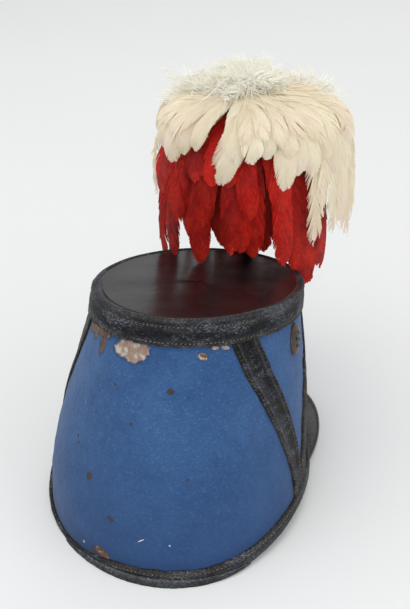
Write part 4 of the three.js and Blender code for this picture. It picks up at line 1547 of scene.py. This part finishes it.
@dataclass(frozen=True)
class VaneHabit:
    """The barbs of one kind of feather.

    Args:
        spacing: from one barb to the next along the feather's edge, in millimetres.
        barb_width: width of a barb in millimetres.
        root_turn: degrees between barb and shaft near the root.
        tip_turn: the same near the tip.
        neck: width of the vane at its start, as a share of its full width.
        tip: length of the rounded end, as a share of half the width.
        splitting: share of the barbs that part from their neighbours.
        lean: degrees that parted barbs differ by.
        lift: how far they stand out of the vane in millimetres.
        cup: how far the vane's edges bend in, as a share of half the width.
        shaft: half the width of the shaft in millimetres.
    """

    spacing: float
    barb_width: float
    root_turn: float
    tip_turn: float
    neck: float
    tip: float
    splitting: float
    lean: float
    lift: float
    cup: float
    shaft: float


HABITS: dict[Vane, VaneHabit] = {
    BROAD: VaneHabit(0.66, 0.98, 30.0, 17.0, 0.5, 2.3, 0.16, 4.0, 0.5, 0.24, 0.3),
    LOOSE: VaneHabit(0.85, 0.6, 27.0, 13.0, 0.45, 2.8, 0.32, 10.0, 1.6, 0.25, 0.3),
    DOWN: VaneHabit(0.75, 0.3, 50.0, 25.0, 0.7, 1.2, 0.5, 16.0, 4.5, 0.5, 0.16),
}


@dataclass(frozen=True)
class FeatherPlan:
    """One feather of the plume.

    Args:
        turn: degrees round the plume from the back towards the wearer's left.
        out: how far it stands out, as a share of its layer's reach.
        fall: how far it falls, as a share of its layer's drop.
        half_width: half the width of its vane in millimetres.
        start: share of its way where the vane starts.
        sway: degrees that its tip turns aside.
        roll: degrees that the vane is turned about its shaft.
        sink: how far under the outer layer it lies, in millimetres.
        vane: how its barbs lie.
    """

    turn: float
    out: float
    fall: float
    half_width: float
    start: float = 0.22
    sway: float = 0.0
    roll: float = 0.0
    sink: float = 0.0
    vane: Vane = BROAD


WHITE_SHOWN: tuple[FeatherPlan, ...] = tuple(
    FeatherPlan(*row)
    for row in (
        # turn, out, fall, half width, start, sway, roll, sink, vane
        (70, 0.86, 0.66, 8, 0.2, 2, -10), (59, 0.9, 0.66, 8, 0.2, 3, -8),
        (48, 0.94, 0.56, 8.5, 0.2, 4, -8), (38, 0.99, 0.66, 8.5, 0.2, 8),
        (28, 1.01, 0.78, 8, 0.2, 4, 0, -1), (19, 1, 0.6, 6.5, 0.2, 3),
        (10, 1, 0.5, 5.5, 0.2, 3, 0, 1), (350, 1.04, 0.92, 7, 0.3, 12, 0, 1),
        (352, 1, 0.66, 5.5, 0.5, 14, 0, 0, LOOSE), (347, 1.01, 0.7, 8.5, 0.2, 4, 0, -1),
        (337, 1.04, 0.62, 9, 0.2, 0, 0, -2), (328, 1, 0.58, 8, 0.2, -3),
        (318, 1.05, 1.02, 7.4, 0.25, -2, 0, 1), (310, 1.02, 0.86, 6.5, 0.2, -4),
        (316, 1.03, 0.6, 8, 0.2, -4, 0, -1), (302, 1.04, 0.92, 6.5, 0.25, -4),
        (297, 1.04, 1.96, 4.8, 0.4, 4, 0, 0, LOOSE), (292, 1.06, 1.55, 5.5, 0.35, 2, 0, 0, LOOSE),
        (284, 1.08, 1.9, 5.5, 0.4, 0, 0, 0, LOOSE), (276, 1.1, 1.75, 7, 0.35, -2),
        (268, 1.12, 2.06, 6, 0.35, -2, 0, 0, LOOSE), (257, 1.13, 1.86, 8, 0.3),
        (249, 1.1, 1.6, 8, 0.3), (263, 1.12, 1.4, 8.5, 0.25, -3, 0, -1),
        (272, 1.09, 1.2, 8, 0.25, -3, 0, -1), (282, 1.06, 1.15, 7.5, 0.25),
        (291, 1.04, 0.8, 7.5, 0.2), (270, 1.06, 0.8, 8.5, 0.2, 0, 0, -2),
        (258, 1.06, 0.9, 8.5, 0.2, 0, 0, -2), (66, 1.02, 1.58, 2.8, 0.4, 0, 0, 0, LOOSE),
        (340, 1, 0.4, 6.5, 0.12, 6, 0, -4, LOOSE), (331, 0.99, 0.34, 6, 0.12, -5, 0, -4, LOOSE),
        (322, 1.02, 0.44, 6.5, 0.12, -7, 0, -4, LOOSE), (311, 1, 0.36, 6.5, 0.12, -8, 0, -4, LOOSE),
        (299, 1.02, 0.5, 6.5, 0.12, -9, 0, -4, LOOSE), (286, 1.02, 0.62, 7, 0.12, -8, 0, -4, LOOSE),
        (274, 1.04, 0.5, 7, 0.12, -8, 0, -4, LOOSE), (264, 1.05, 0.7, 7.5, 0.12, -6, 0, -4, LOOSE),
        (24, 1, 0.42, 6.5, 0.12, 6, 0, -3, LOOSE), (36, 0.97, 0.34, 6.5, 0.12, 6, 0, -2, LOOSE),
        (46, 0.95, 0.4, 6.5, 0.12, 4, -10, -1, LOOSE),
    )
)

RED_SHOWN: tuple[FeatherPlan, ...] = tuple(
    FeatherPlan(*row)
    for row in (
        # turn, out, fall, half width, start, sway, roll, sink, vane
        (62, 1.12, 0.98, 4.2, 0.4, 6), (74, 1.1, 0.72, 6.5, 0.3, 2), (66, 1.1, 0.66, 6.5, 0.3, 2),
        (56, 1.1, 0.5, 7.5, 0.3, 2, 0, -1), (46, 1.07, 0.88, 6.5, 0.35, -6),
        (36, 1.06, 0.61, 9, 0.3, 2, 0, -1), (46, 1.07, 0.38, 8.5, 0.3, 2, 0, -2),
        (27, 1.03, 0.36, 8.5, 0.2, -4, 0, -2), (12, 0.95, 0.32, 8.5, 0.03, 0, 0, -14),
        (2, 0.9, 0.34, 8.5, 0.03, 0, 0, -15), (352, 0.92, 0.33, 8, 0.03, 0, 0, -13),
        (16, 1, 0.86, 8.2, 0.35, 3), (28, 0.98, 0.72, 8, 0.35, 0, 0, 1),
        (1, 0.96, 0.72, 8, 0.35, 4, 0, 8), (350, 1.03, 0.74, 8, 0.3, 3),
        (8, 1.04, 0.58, 6.5, 0.3, 3, 0, -1), (343, 1, 0.74, 7.5, 0.35, 4, 0, 1),
        (336, 0.96, 0.78, 7.5, 0.35, 2, 0, 2), (318, 1.05, 0.48, 8.5, 0.3, -3, 0, -1),
        (340, 1.05, 0.5, 8, 0.3, -3, 0, -1), (327, 0.98, 0.74, 8, 0.35, 2, 0, 9),
        (315, 1.05, 0.84, 8.5, 0.3, -5), (304, 1.04, 0.92, 8, 0.35, 0, 0, 1),
        (298, 1.06, 0.98, 7.5, 0.35, -7), (291, 1.02, 1.04, 7, 0.4, 0, 0, 1),
        (283, 1.06, 0.94, 7, 0.4, -8), (271, 1.02, 1, 5.5, 0.45), (258, 1.12, 0.68, 6, 0.4),
    )
)


class Feather:
    """A feather: a shaft with single barbs on both sides and a narrow web along it."""

    outline_steps = 160
    barb_shares = np.array([0.0, 0.4, 0.75, 1.0])
    barb_widths = np.array([1.7, 1.35, 1.0, 0.5])

    def __init__(self, spine: Array, plan: FeatherPlan, axis: Array) -> None:
        """Works out its directions and the outline of its vane.

        Args:
            spine: points along its shaft in metres.
            plan: its size and habit.
            axis: x and y of the plume's axis in metres.
        """
        self.spine, self.plan, self.habit = spine, plan, HABITS[plan.vane]
        self.ahead = unit(np.gradient(spine, axis=0))
        away = spine - np.array([axis[0], axis[1], 0.0])
        away[:, 2] = 0
        aside = unit(np.cross(self.ahead, away))
        over = unit(np.cross(aside, self.ahead))
        roll = math.radians(plan.roll)
        self.aside = aside * math.cos(roll) + over * math.sin(roll)
        self.over = over * math.cos(roll) - aside * math.sin(roll)
        self.way = way_along(spine)
        self.begin, self.end = plan.start * self.way[-1], self.way[-1]
        self.width = plan.half_width * MM
        self.share = np.linspace(0, 1, self.outline_steps)
        self.wide = self.outline()

    def outline(self) -> Array:
        """Half the width of the vane along its way."""
        habit, share = self.habit, self.share
        bend = 1 - min(0.6, habit.tip * self.width / (self.end - self.begin))
        body = habit.neck + (1 - habit.neck) * np.sin(math.pi / 2 * np.clip(share / 0.4, 0, 1))
        rounded = np.clip(1 - ((share - bend) / (1 - bend)) ** 2, 0, 1) ** 0.6
        return self.width * body * np.where(share < bend, 1, rounded)

    def place(self, across: Array, along: Array, height: Array) -> Array:
        """Points of the vane in metres."""
        total = np.zeros(along.shape + (3,))
        for what, size in ((self.spine, None), (self.aside, across), (self.over, height)):
            row = between(along, self.way, what)
            total += row if size is None else row * size[..., None]
        return total + self.ahead[-1] * np.maximum(along - self.end, 0)[..., None]

    def add(self, draft: Draft, rng: np.random.Generator) -> None:
        """Adds the feather to a piece, with unevenness from a generator."""
        edge = np.hypot(np.diff(self.wide), np.diff(self.share) * (self.end - self.begin))
        edge_way = np.concatenate([[0], np.cumsum(edge)])
        # The tint is random, plus painted shade for feathers that lie deeper under the others.
        tint = min(1.0, 0.75 * rng.uniform(0, 1) + 0.12 * max(0.0, self.plan.sink))
        for hand in (-1, 1):
            self.barbs(draft, hand, edge_way, tint, rng)
        along = self.way / self.end
        if self.plan.vane is not DOWN:
            inside = (self.way > self.begin) & (self.way < self.end - 0.2 * self.width)
            share = (self.way - self.begin) / (self.end - self.begin)
            web = np.minimum(1.3 * MM, np.interp(share, self.share, self.wide) / 2)[:, None]
            middle = self.spine - self.over * 0.1 * MM
            rows = [(middle + self.aside * k * web)[inside] for k in (-1, 1)]
            draft.grid(np.stack(rows, 1), shade=tint, along=along[inside, None], across=0.0)
        thick = self.habit.shaft * MM * (1 - 0.85 * along)[:, None]
        ring = [
            self.spine + (self.aside * math.cos(k) + self.over * math.sin(k)) * thick
            for k in full_ring(4)
        ]
        painted = {"shade": tint, "along": along[:, None], "across": 0.0}
        draft.grid(np.stack(ring, 1), round_section=True, caps=True, **painted)

    def barbs(
        self, draft: Draft, hand: int, edge_way: Array, tint: float, rng: np.random.Generator
    ) -> None:
        """Adds the barbs of one side.

        Args:
            draft: the piece they become part of.
            hand: which side of the shaft, -1 or 1.
            edge_way: way along the vane's edge at each step of its outline.
            tint: how far the feather has its other colour.
            rng: where the unevenness comes from.
        """
        habit, begin, end = self.habit, self.begin, self.end
        count = max(10, int(edge_way[-1] / (habit.spacing * MM)))
        share = (np.arange(count) + 0.5 + rng.uniform(-0.3, 0.3, count)) / count
        u = np.interp(share * edge_way[-1], edge_way, self.share)
        clumps = np.cumsum(rng.random(count) < habit.splitting)
        parted = rng.normal(0, 1, (3, clumps.max() + 1))[:, clumps]
        parted[1] = 0.4 * parted[1] + 0.35 * parted[1] ** 3
        reach = np.interp(u, self.share, self.wide) * (1 + 0.025 * parted[0])
        reach = reach * rng.uniform(0.95, 1.02, count)
        turn = np.radians(habit.root_turn + (habit.tip_turn - habit.root_turn) * u**1.5)
        tip_along = begin + u * (end - begin) + reach * np.radians(habit.lean) * parted[1]
        tip_along = tip_along + rng.normal(0, 0.012, count) * self.width * habit.lean
        root_along = np.maximum(tip_along - reach / np.tan(turn) - 0.3 * MM, begin * 0.97)
        root_along = np.minimum(root_along, end * 0.985)
        rise = tip_along - root_along
        t = self.barb_shares[None, :]
        thick = self.barb_widths[None, :] * habit.barb_width * MM / 2
        x = reach[:, None] * (1.1 * t * (1 - t) + t * t)
        s = root_along[:, None] + rise[:, None] * (0.7 * t * (1 - t) + t * t)
        dx = reach[:, None] * (1.1 * (1 - 2 * t) + 2 * t)
        ds = rise[:, None] * (0.7 * (1 - 2 * t) + 2 * t)
        size = np.hypot(dx, ds) + 1e-9
        lift = habit.lift * MM * parted[2] + rng.normal(0, 0.12 * habit.lift * MM, count)
        cup = habit.cup * reach * (reach / self.width)
        height = (lift - cup)[:, None] * t * t
        sides = [
            self.place(hand * (x - ds / size * thick * k), s + dx / size * thick * k, height)
            for k in (-1, 1)
        ]
        base = (np.arange(count) * 8)[:, None]
        faces = np.concatenate([base + [k, k + 1, k + 3, k + 2] for k in (0, 2, 4)])
        shade = tint + 0.13 * parted[0] + rng.normal(0, 0.1, count)
        across = np.tile(np.repeat(self.barb_shares, 2), count)
        painted = {"shade": np.repeat(shade, 8), "along": np.repeat(u, 8), "across": across}
        draft.add(np.stack(sides, 2), faces.tolist(), **painted)


FEATHER_WAY = (
    # share of the way, of the way out and of the fall
    (0, 0.05, -0.04), (0.1, 0.2, -0.05), (0.25, 0.5, 0.02), (0.42, 0.8, 0.19), (0.58, 0.95, 0.42),
    (0.78, 1, 0.72), (1, 0.97, 1),
)


@dataclass(frozen=True)
class Spread:
    """Feathers spread evenly round the plume with a little unevenness each.

    Args:
        count: how many.
        first: turn of the first, in degrees.
        out: least and most that they stand out, as a share of the layer's reach.
        fall: least and most that they fall, as a share of the layer's drop.
        half_width: half the width of their vanes in millimetres.
        sink: how far under the outer layer they lie, in millimetres.
        start: share of the way where their vanes start.
        vane: how their barbs lie.
        turns: least and most turn of those that are kept, in degrees.
    """

    count: int
    first: float
    out: tuple[float, float]
    fall: tuple[float, float]
    half_width: float
    sink: float
    start: float = 0.22
    vane: Vane = BROAD
    turns: tuple[float, float] = (-1.0, FULL_CIRCLE)

    def plans(self, rng: np.random.Generator) -> list[FeatherPlan]:
        """The feathers, with unevenness from a generator."""
        plans = [
            FeatherPlan(
                self.first + i * FULL_CIRCLE / self.count + rng.uniform(-5, 5),
                rng.uniform(*self.out),
                rng.uniform(*self.fall),
                self.half_width * rng.uniform(0.85, 1.15),
                self.start,
                rng.uniform(-8, 8),
                rng.uniform(-14, 14),
                self.sink + rng.uniform(0, 2),
                self.vane,
            )
            for i in range(self.count)
        ]
        low, high = self.turns
        return [plan for plan in plans if low < plan.turn % FULL_CIRCLE < high]


RED_SPREADS = (
    Spread(15, 4, (0.74, 0.8), (0.5, 0.72), 9, 6, 0.25),
    Spread(19, 14, (0.86, 0.93), (0.45, 0.68), 8.5, 3, 0.25),
    Spread(26, 0, (0.96, 1.04), (0.9, 1.08), 7.5, 0, 0.3, turns=(70, 255)),
    Spread(22, 7, (0.98, 1.06), (0.4, 0.7), 8.0, -1, 0.3, turns=(70, 255)),
)
WHITE_SPREADS = (
    Spread(19, 3, (0.86, 0.92), (0.4, 0.58), 8, 2, turns=(9, 347)),
    Spread(30, 0, (0.95, 1.0), (0.8, 1.02), 7.5, 0, turns=(66, 243)),
    Spread(26, 5, (0.95, 1.0), (0.45, 0.7), 8, -1, turns=(66, 243)),
)
WHITE_TOP = Spread(22, 8, (0.7, 0.9), (0.1, 0.36), 6.0, -1.5, 0.1, LOOSE, (9, 347))
QUILLS = (
    # turn in degrees, rise over its run, length in millimetres
    (64, 0.62, 31), (70, 0.36, 29),
)


@dataclass
class Plume:
    """The falling plume: white feathers and down over red ones, on a stem in its holder."""

    form: HatForm
    axis: Array
    socket_top: float
    tie: float = 240.0
    reach: float = 66.0
    layer: float = 9.0
    white_drop: float = 50.0
    red_drop: float = 112.0
    cap_drop: float = 30.0
    stem_radius: float = 2.6
    stem_depth: float = 28.0
    socket_wall: float = 1.6
    socket_gap: float = 0.4
    socket_length: float = 34.0
    parting: float = 338.0
    lean: float = 26.0
    tufts: int = 44
    down_feathers: int = 330
    down_height: float = 12.0
    quill_root: float = 30.0

    @classmethod
    def on_frame(cls, form: HatForm) -> "Plume":
        """The plume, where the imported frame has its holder."""
        low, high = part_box("plume_socket")
        radius = cls.stem_radius + cls.socket_gap + cls.socket_wall
        return cls(form, np.array([form.axis_x * MM, low[1] + radius * MM]), high[2] / MM)

    def spine(self, plan: FeatherPlan, reach: float, drop: float, top: float) -> Array:
        """Points along the shaft of a feather, in metres."""
        share = np.linspace(0, 1, 22)
        fine = np.linspace(0, 1, 60)
        kernel = np.ones(9) / 9
        columns = [read_off(FEATHER_WAY, fine, k) for k in (1, 2)]
        soft = [np.convolve(np.pad(row, 4, mode="edge"), kernel, "valid") for row in columns]
        out, down = (np.interp(share, fine, row) for row in soft)
        radius = reach * plan.out * out - plan.sink * share
        height = top - drop * plan.fall * down - plan.sink * 0.5
        return self.around(plan.turn + plan.sway * (share**2 - 0.5), radius, height)

    def around(self, turn: Array, radius: Array, height: Array) -> Array:
        """Points round the plume's axis in metres, from degrees and millimetres."""
        x = self.axis[0] + np.sin(np.radians(turn)) * radius * MM
        y = self.axis[1] + np.cos(np.radians(turn)) * radius * MM
        return np.stack([x, y, height * MM], -1)

    def layer_of(
        self,
        draft: Draft,
        plans: Iterable[FeatherPlan],
        reach: float,
        drop: float,
        top: float,
        rng: np.random.Generator,
    ) -> None:
        """Adds feathers of one colour to a piece.

        Args:
            draft: the piece they become part of.
            plans: the feathers.
            reach: how far out the layer goes, in millimetres.
            drop: how far down it goes, in millimetres.
            top: height that its feathers start at, in millimetres.
            rng: where the unevenness comes from.
        """
        for plan in plans:
            faced = self.lean * math.sin(math.radians(plan.turn - self.parting))
            plan = replace(
                plan,
                roll=plan.roll + faced + rng.uniform(-14, 14),
                sway=plan.sway + rng.uniform(-4, 4),
                half_width=plan.half_width * rng.uniform(0.9, 1.08),
            )
            Feather(self.spine(plan, reach, drop, top), plan, self.axis).add(draft, rng)

    def build(self, finishes: Finishes) -> None:
        """Makes the holder, the cores, the red and white feathers and the down."""
        self.holder(finishes)
        self.red_layer(finishes)
        self.white_layer(finishes)
        self.down_layer(finishes)

    def holder(self, finishes: Finishes) -> None:
        """Makes the cup on its saddle, which the plume hides."""
        form = self.form
        bore = self.stem_radius + self.socket_gap
        outer = bore + self.socket_wall
        top, foot = self.socket_top, self.socket_top - self.socket_length
        floor = top - self.stem_depth - self.socket_gap
        profile = [
            (0.01, foot), (outer - 0.5, foot), (outer, foot + 0.5), (outer, top - 2.2),
            (outer + 0.25, top - 1.8), (outer + 0.25, top - 0.4), (outer - 0.3, top), (bore, top),
            (bore, floor), (0.01, floor),
        ]
        draft = Draft()
        draft.grid(turned(profile, self.axis, 40), ring=True, worn=0.0)
        angle = np.linspace(math.pi - math.radians(6), math.pi + math.radians(6), 16)
        face = form.gap + form.band + form.top_flare + form.gap
        near = np.stack([form.below(angle, d, face) for d in np.linspace(3.0, form.top_band, 8)], 1)
        far = near.copy()
        far[..., 1] = self.axis[1] + 1.5 * MM
        draft.grid(np.concatenate([near, far[:, ::-1]], 1), round_section=True, caps=True)
        draft.piece("plume_holder", [finishes.strap], "leather", ["plume_socket"], sharp=35)

    def red_layer(self, finishes: Finishes) -> None:
        """Makes the red feathers round a small core on the stem."""
        rng = np.random.default_rng(71)
        top, reach = self.tie - self.layer, self.reach - self.layer
        stem_end = self.socket_top - self.stem_depth
        core = [
            (0.01, top - 1), (reach * 0.36, top - 3), (reach * 0.56, top - 10),
            (reach * 0.62, top - 24), (reach * 0.55, top - 40), (reach * 0.3, top - 52),
            (self.stem_radius, top - 58), (self.stem_radius, stem_end), (0.01, stem_end),
        ]
        draft = Draft()
        # The core takes the darkest red with the roots' painted shade: a dark body standing in for
        # the shade inside the plume.
        draft.grid(turned(core, self.axis, 32), ring=True, shade=1.0, along=0.0, across=0.0)
        plans = [plan for spread in RED_SPREADS for plan in spread.plans(rng)] + list(RED_SHOWN)
        self.layer_of(draft, plans, reach, self.red_drop, top - 0.2 * self.cap_drop, rng)
        draft.piece("plume_red_feathers", [finishes.red], "red_feather", ["plume_red"], sharp=180)

    def white_layer(self, finishes: Finishes) -> None:
        """Makes the white feathers over a cap."""
        rng = np.random.default_rng(72)
        tie, reach, low = self.tie, self.reach, self.tie - self.layer
        cap = [
            (0.01, tie + 4), (reach * 0.25, tie + 2), (reach * 0.38, tie - 2),
            (reach * 0.4, tie - 5), (reach * 0.36, tie - 6), (reach * 0.25, low + 2),
            (0.01, low + 3),
        ]
        draft = Draft()
        # The cap takes the roots' painted shade.
        draft.grid(turned(cap, self.axis, 40), ring=True, shade=0.5, along=0.0, across=0.0)
        plans = [plan for spread in WHITE_SPREADS for plan in spread.plans(rng)]
        plans += [*WHITE_SHOWN, *WHITE_TOP.plans(rng)]
        self.layer_of(draft, plans, reach, self.white_drop, tie + 3, rng)
        slot, nodes = "white_feather", ["plume_white"]
        draft.piece("plume_white_feathers", [finishes.white], slot, nodes, sharp=180)

    def down_layer(self, finishes: Finishes) -> None:
        """Makes the soft down that stands up round the tie, and two stray quills."""
        rng = np.random.default_rng(73)
        draft = Draft()
        tufts = [
            (rng.uniform(0, FULL_CIRCLE), rng.random(), rng.uniform(-3, 5))
            for _ in range(self.tufts)
        ]
        for step in range(self.down_feathers):
            tuft, spread, lift = tufts[step % self.tufts]
            turn = tuft + rng.normal(0, 9)
            aside = abs((turn - self.parting + 180) % FULL_CIRCLE - 180)
            bare = 0.22 + 0.46 * float(smooth(np.array(aside), 40, 100))
            root = bare * min(1.0, abs(spread + rng.normal(0, 0.12))) ** 0.7 * self.reach
            length = rng.uniform(12, 22)
            rise = rng.uniform(-0.2, 0.7) * (1 - 0.8 * root / self.reach)
            share = np.linspace(0, 1, 9)
            height = self.tie + 8 + lift - 0.0048 * root * root
            height = height + length * (share * math.sin(rise) - 0.3 * share**2)
            way = turn + rng.uniform(-24, 24) * share**2
            spine = self.around(way, root + length * share * math.cos(rise), height)
            width = rng.uniform(5, 8)
            plan = FeatherPlan(turn, 1, 1, width, 0.05, roll=rng.uniform(-70, 70), vane=DOWN)
            Feather(spine, plan, self.axis).add(draft, rng)
        for turn, rise, length in QUILLS:
            run = length * np.linspace(0, 1, 12)
            spine = self.around(turn, self.quill_root + run, self.tie + 3 + run * rise)
            plan = FeatherPlan(turn, 1, 1, 1.1, 0.55, vane=LOOSE)
            Feather(spine, plan, self.axis).add(draft, rng)
        for points in draft.vertices:
            over = np.maximum(points[:, 2] / MM - self.tie - self.down_height, 0)
            points[:, 2] -= (over - self.down_height * np.tanh(over / self.down_height)) * MM
        draft.piece("plume_down", [finishes.down], "white_feather", sharp=180)


# Room, light and camera


@dataclass(frozen=True)
class Lamp:
    """A soft square light that faces the hat.

    Args:
        name: what it stands for.
        place: where it is, in metres.
        size: length of its side in metres.
        power: its power in watts.
        colour: the colour of its light.
    """

    name: str
    place: tuple[float, float, float]
    size: float
    power: float
    colour: tuple[float, float, float] = (1.0, 1.0, 1.0)

    def hang(self) -> None:
        """Puts it in the scene."""
        lamp = bpy.data.lights.new(self.name, "AREA")
        lamp.size = self.size
        lamp.energy = self.power
        lamp.color = self.colour
        obj = bpy.data.objects.new(self.name, lamp)
        obj.location = self.place
        towards = Vector((0.0, 0.0, 0.12)) - Vector(self.place)
        obj.rotation_euler = towards.to_track_quat("-Z", "Y").to_euler()
        bpy.context.scene.collection.objects.link(obj)


LAMPS = (
    Lamp("overhead", (0.3, 0.5, 1.9), 1.7, 9.0, (1.0, 0.99, 0.97)),
    Lamp("window", (-0.7, 1.7, 1.05), 0.5, 8.0, (0.97, 0.99, 1.0)),
    Lamp("left", (1.6, 0.5, 0.9), 1.2, 2.2),
    Lamp("right", (-1.5, 0.1, 0.8), 1.3, 4.2),
    Lamp("back", (0.2, -1.4, 1.3), 1.4, 3.0),
)


@dataclass
class Studio:
    """A pale floor, soft light and the camera."""

    form: HatForm
    azimuth: float = 203.37
    elevation: float = 29.11
    roll: float = -1.599
    distance: float = 632.22
    aside: float = 18.193
    height: float = 140.458
    focal_pixels: float = 1000.0
    frame_height: float = 609.0
    sensor: float = 36.0
    floor_width: float = 10.0

    def build(self) -> None:
        """Makes everything round the hat."""
        self.floor()
        view = bpy.context.scene.view_settings
        view.view_transform = "Standard"
        for lamp in LAMPS:
            lamp.hang()
        world = bpy.data.worlds.new("studio")
        bpy.context.scene.world = world
        world.use_nodes = True
        backdrop = world.node_tree.nodes["Background"]
        backdrop.inputs[0].default_value = (0.92, 0.94, 0.96, 1)
        backdrop.inputs[1].default_value = 0.8
        self.camera()

    def floor(self) -> None:
        """A plain pale floor."""
        mesh = bpy.data.meshes.new("floor")
        half = self.floor_width / 2
        corners = [(-half, -half, 0), (half, -half, 0), (half, half, 0), (-half, half, 0)]
        mesh.from_pydata(corners, [], [[0, 1, 2, 3]])
        fixed = {"Roughness": 0.75, "Specular IOR Level": 0.2}
        material, w, shader = start_material("pale floor", fixed)
        cloud = w.noise(w.object_place(), 3.0, 3.0)
        colour = w.mix(cloud, (0.80, 0.80, 0.79, 1), (0.83, 0.83, 0.82, 1))
        w.feed(shader, "Base Color", colour)
        mesh.materials.append(material)
        floor = bpy.data.objects.new("floor", mesh)
        bpy.context.scene.collection.objects.link(floor)

    def camera(self) -> None:
        """The camera, behind the hat on the wearer's right and above it."""
        az, el, roll = (math.radians(v) for v in (self.azimuth, self.elevation, self.roll))
        back = Vector((math.sin(az) * math.cos(el), -math.cos(az) * math.cos(el), math.sin(el)))
        level = Vector((math.cos(az), math.sin(az), 0))
        upward = back.cross(level)
        right = level * math.cos(roll) + upward * math.sin(roll)
        top = upward * math.cos(roll) - level * math.sin(roll)
        middle = Vector((self.form.axis_x, self.form.axis_y, self.height)) + level * self.aside
        place = (middle + back * self.distance) * MM
        lens = bpy.data.cameras.new("camera")
        lens.sensor_width = self.sensor
        lens.lens = self.focal_pixels / self.frame_height * self.sensor
        lens.clip_start = 0.01
        camera = bpy.data.objects.new("camera", lens)
        axes = Matrix((right, top, back)).transposed().to_4x4()
        camera.matrix_world = Matrix.Translation(place) @ axes
        bpy.context.scene.collection.objects.link(camera)
        bpy.context.scene.camera = camera


def main() -> None:
    """Builds the hat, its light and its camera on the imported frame."""
    logging.basicConfig(level=logging.INFO, format="%(name)s: %(message)s")
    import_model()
    form = HatForm.on_frame()
    finishes = Finishes(form)
    for part in (ClothWall, Crown, TopBand, BottomBand, Straps, Peak, Vents):
        part(form).build(finishes)
    Plume.on_frame(form).build(finishes)
    Studio(form).build()


if __name__ == "__main__":
    main()
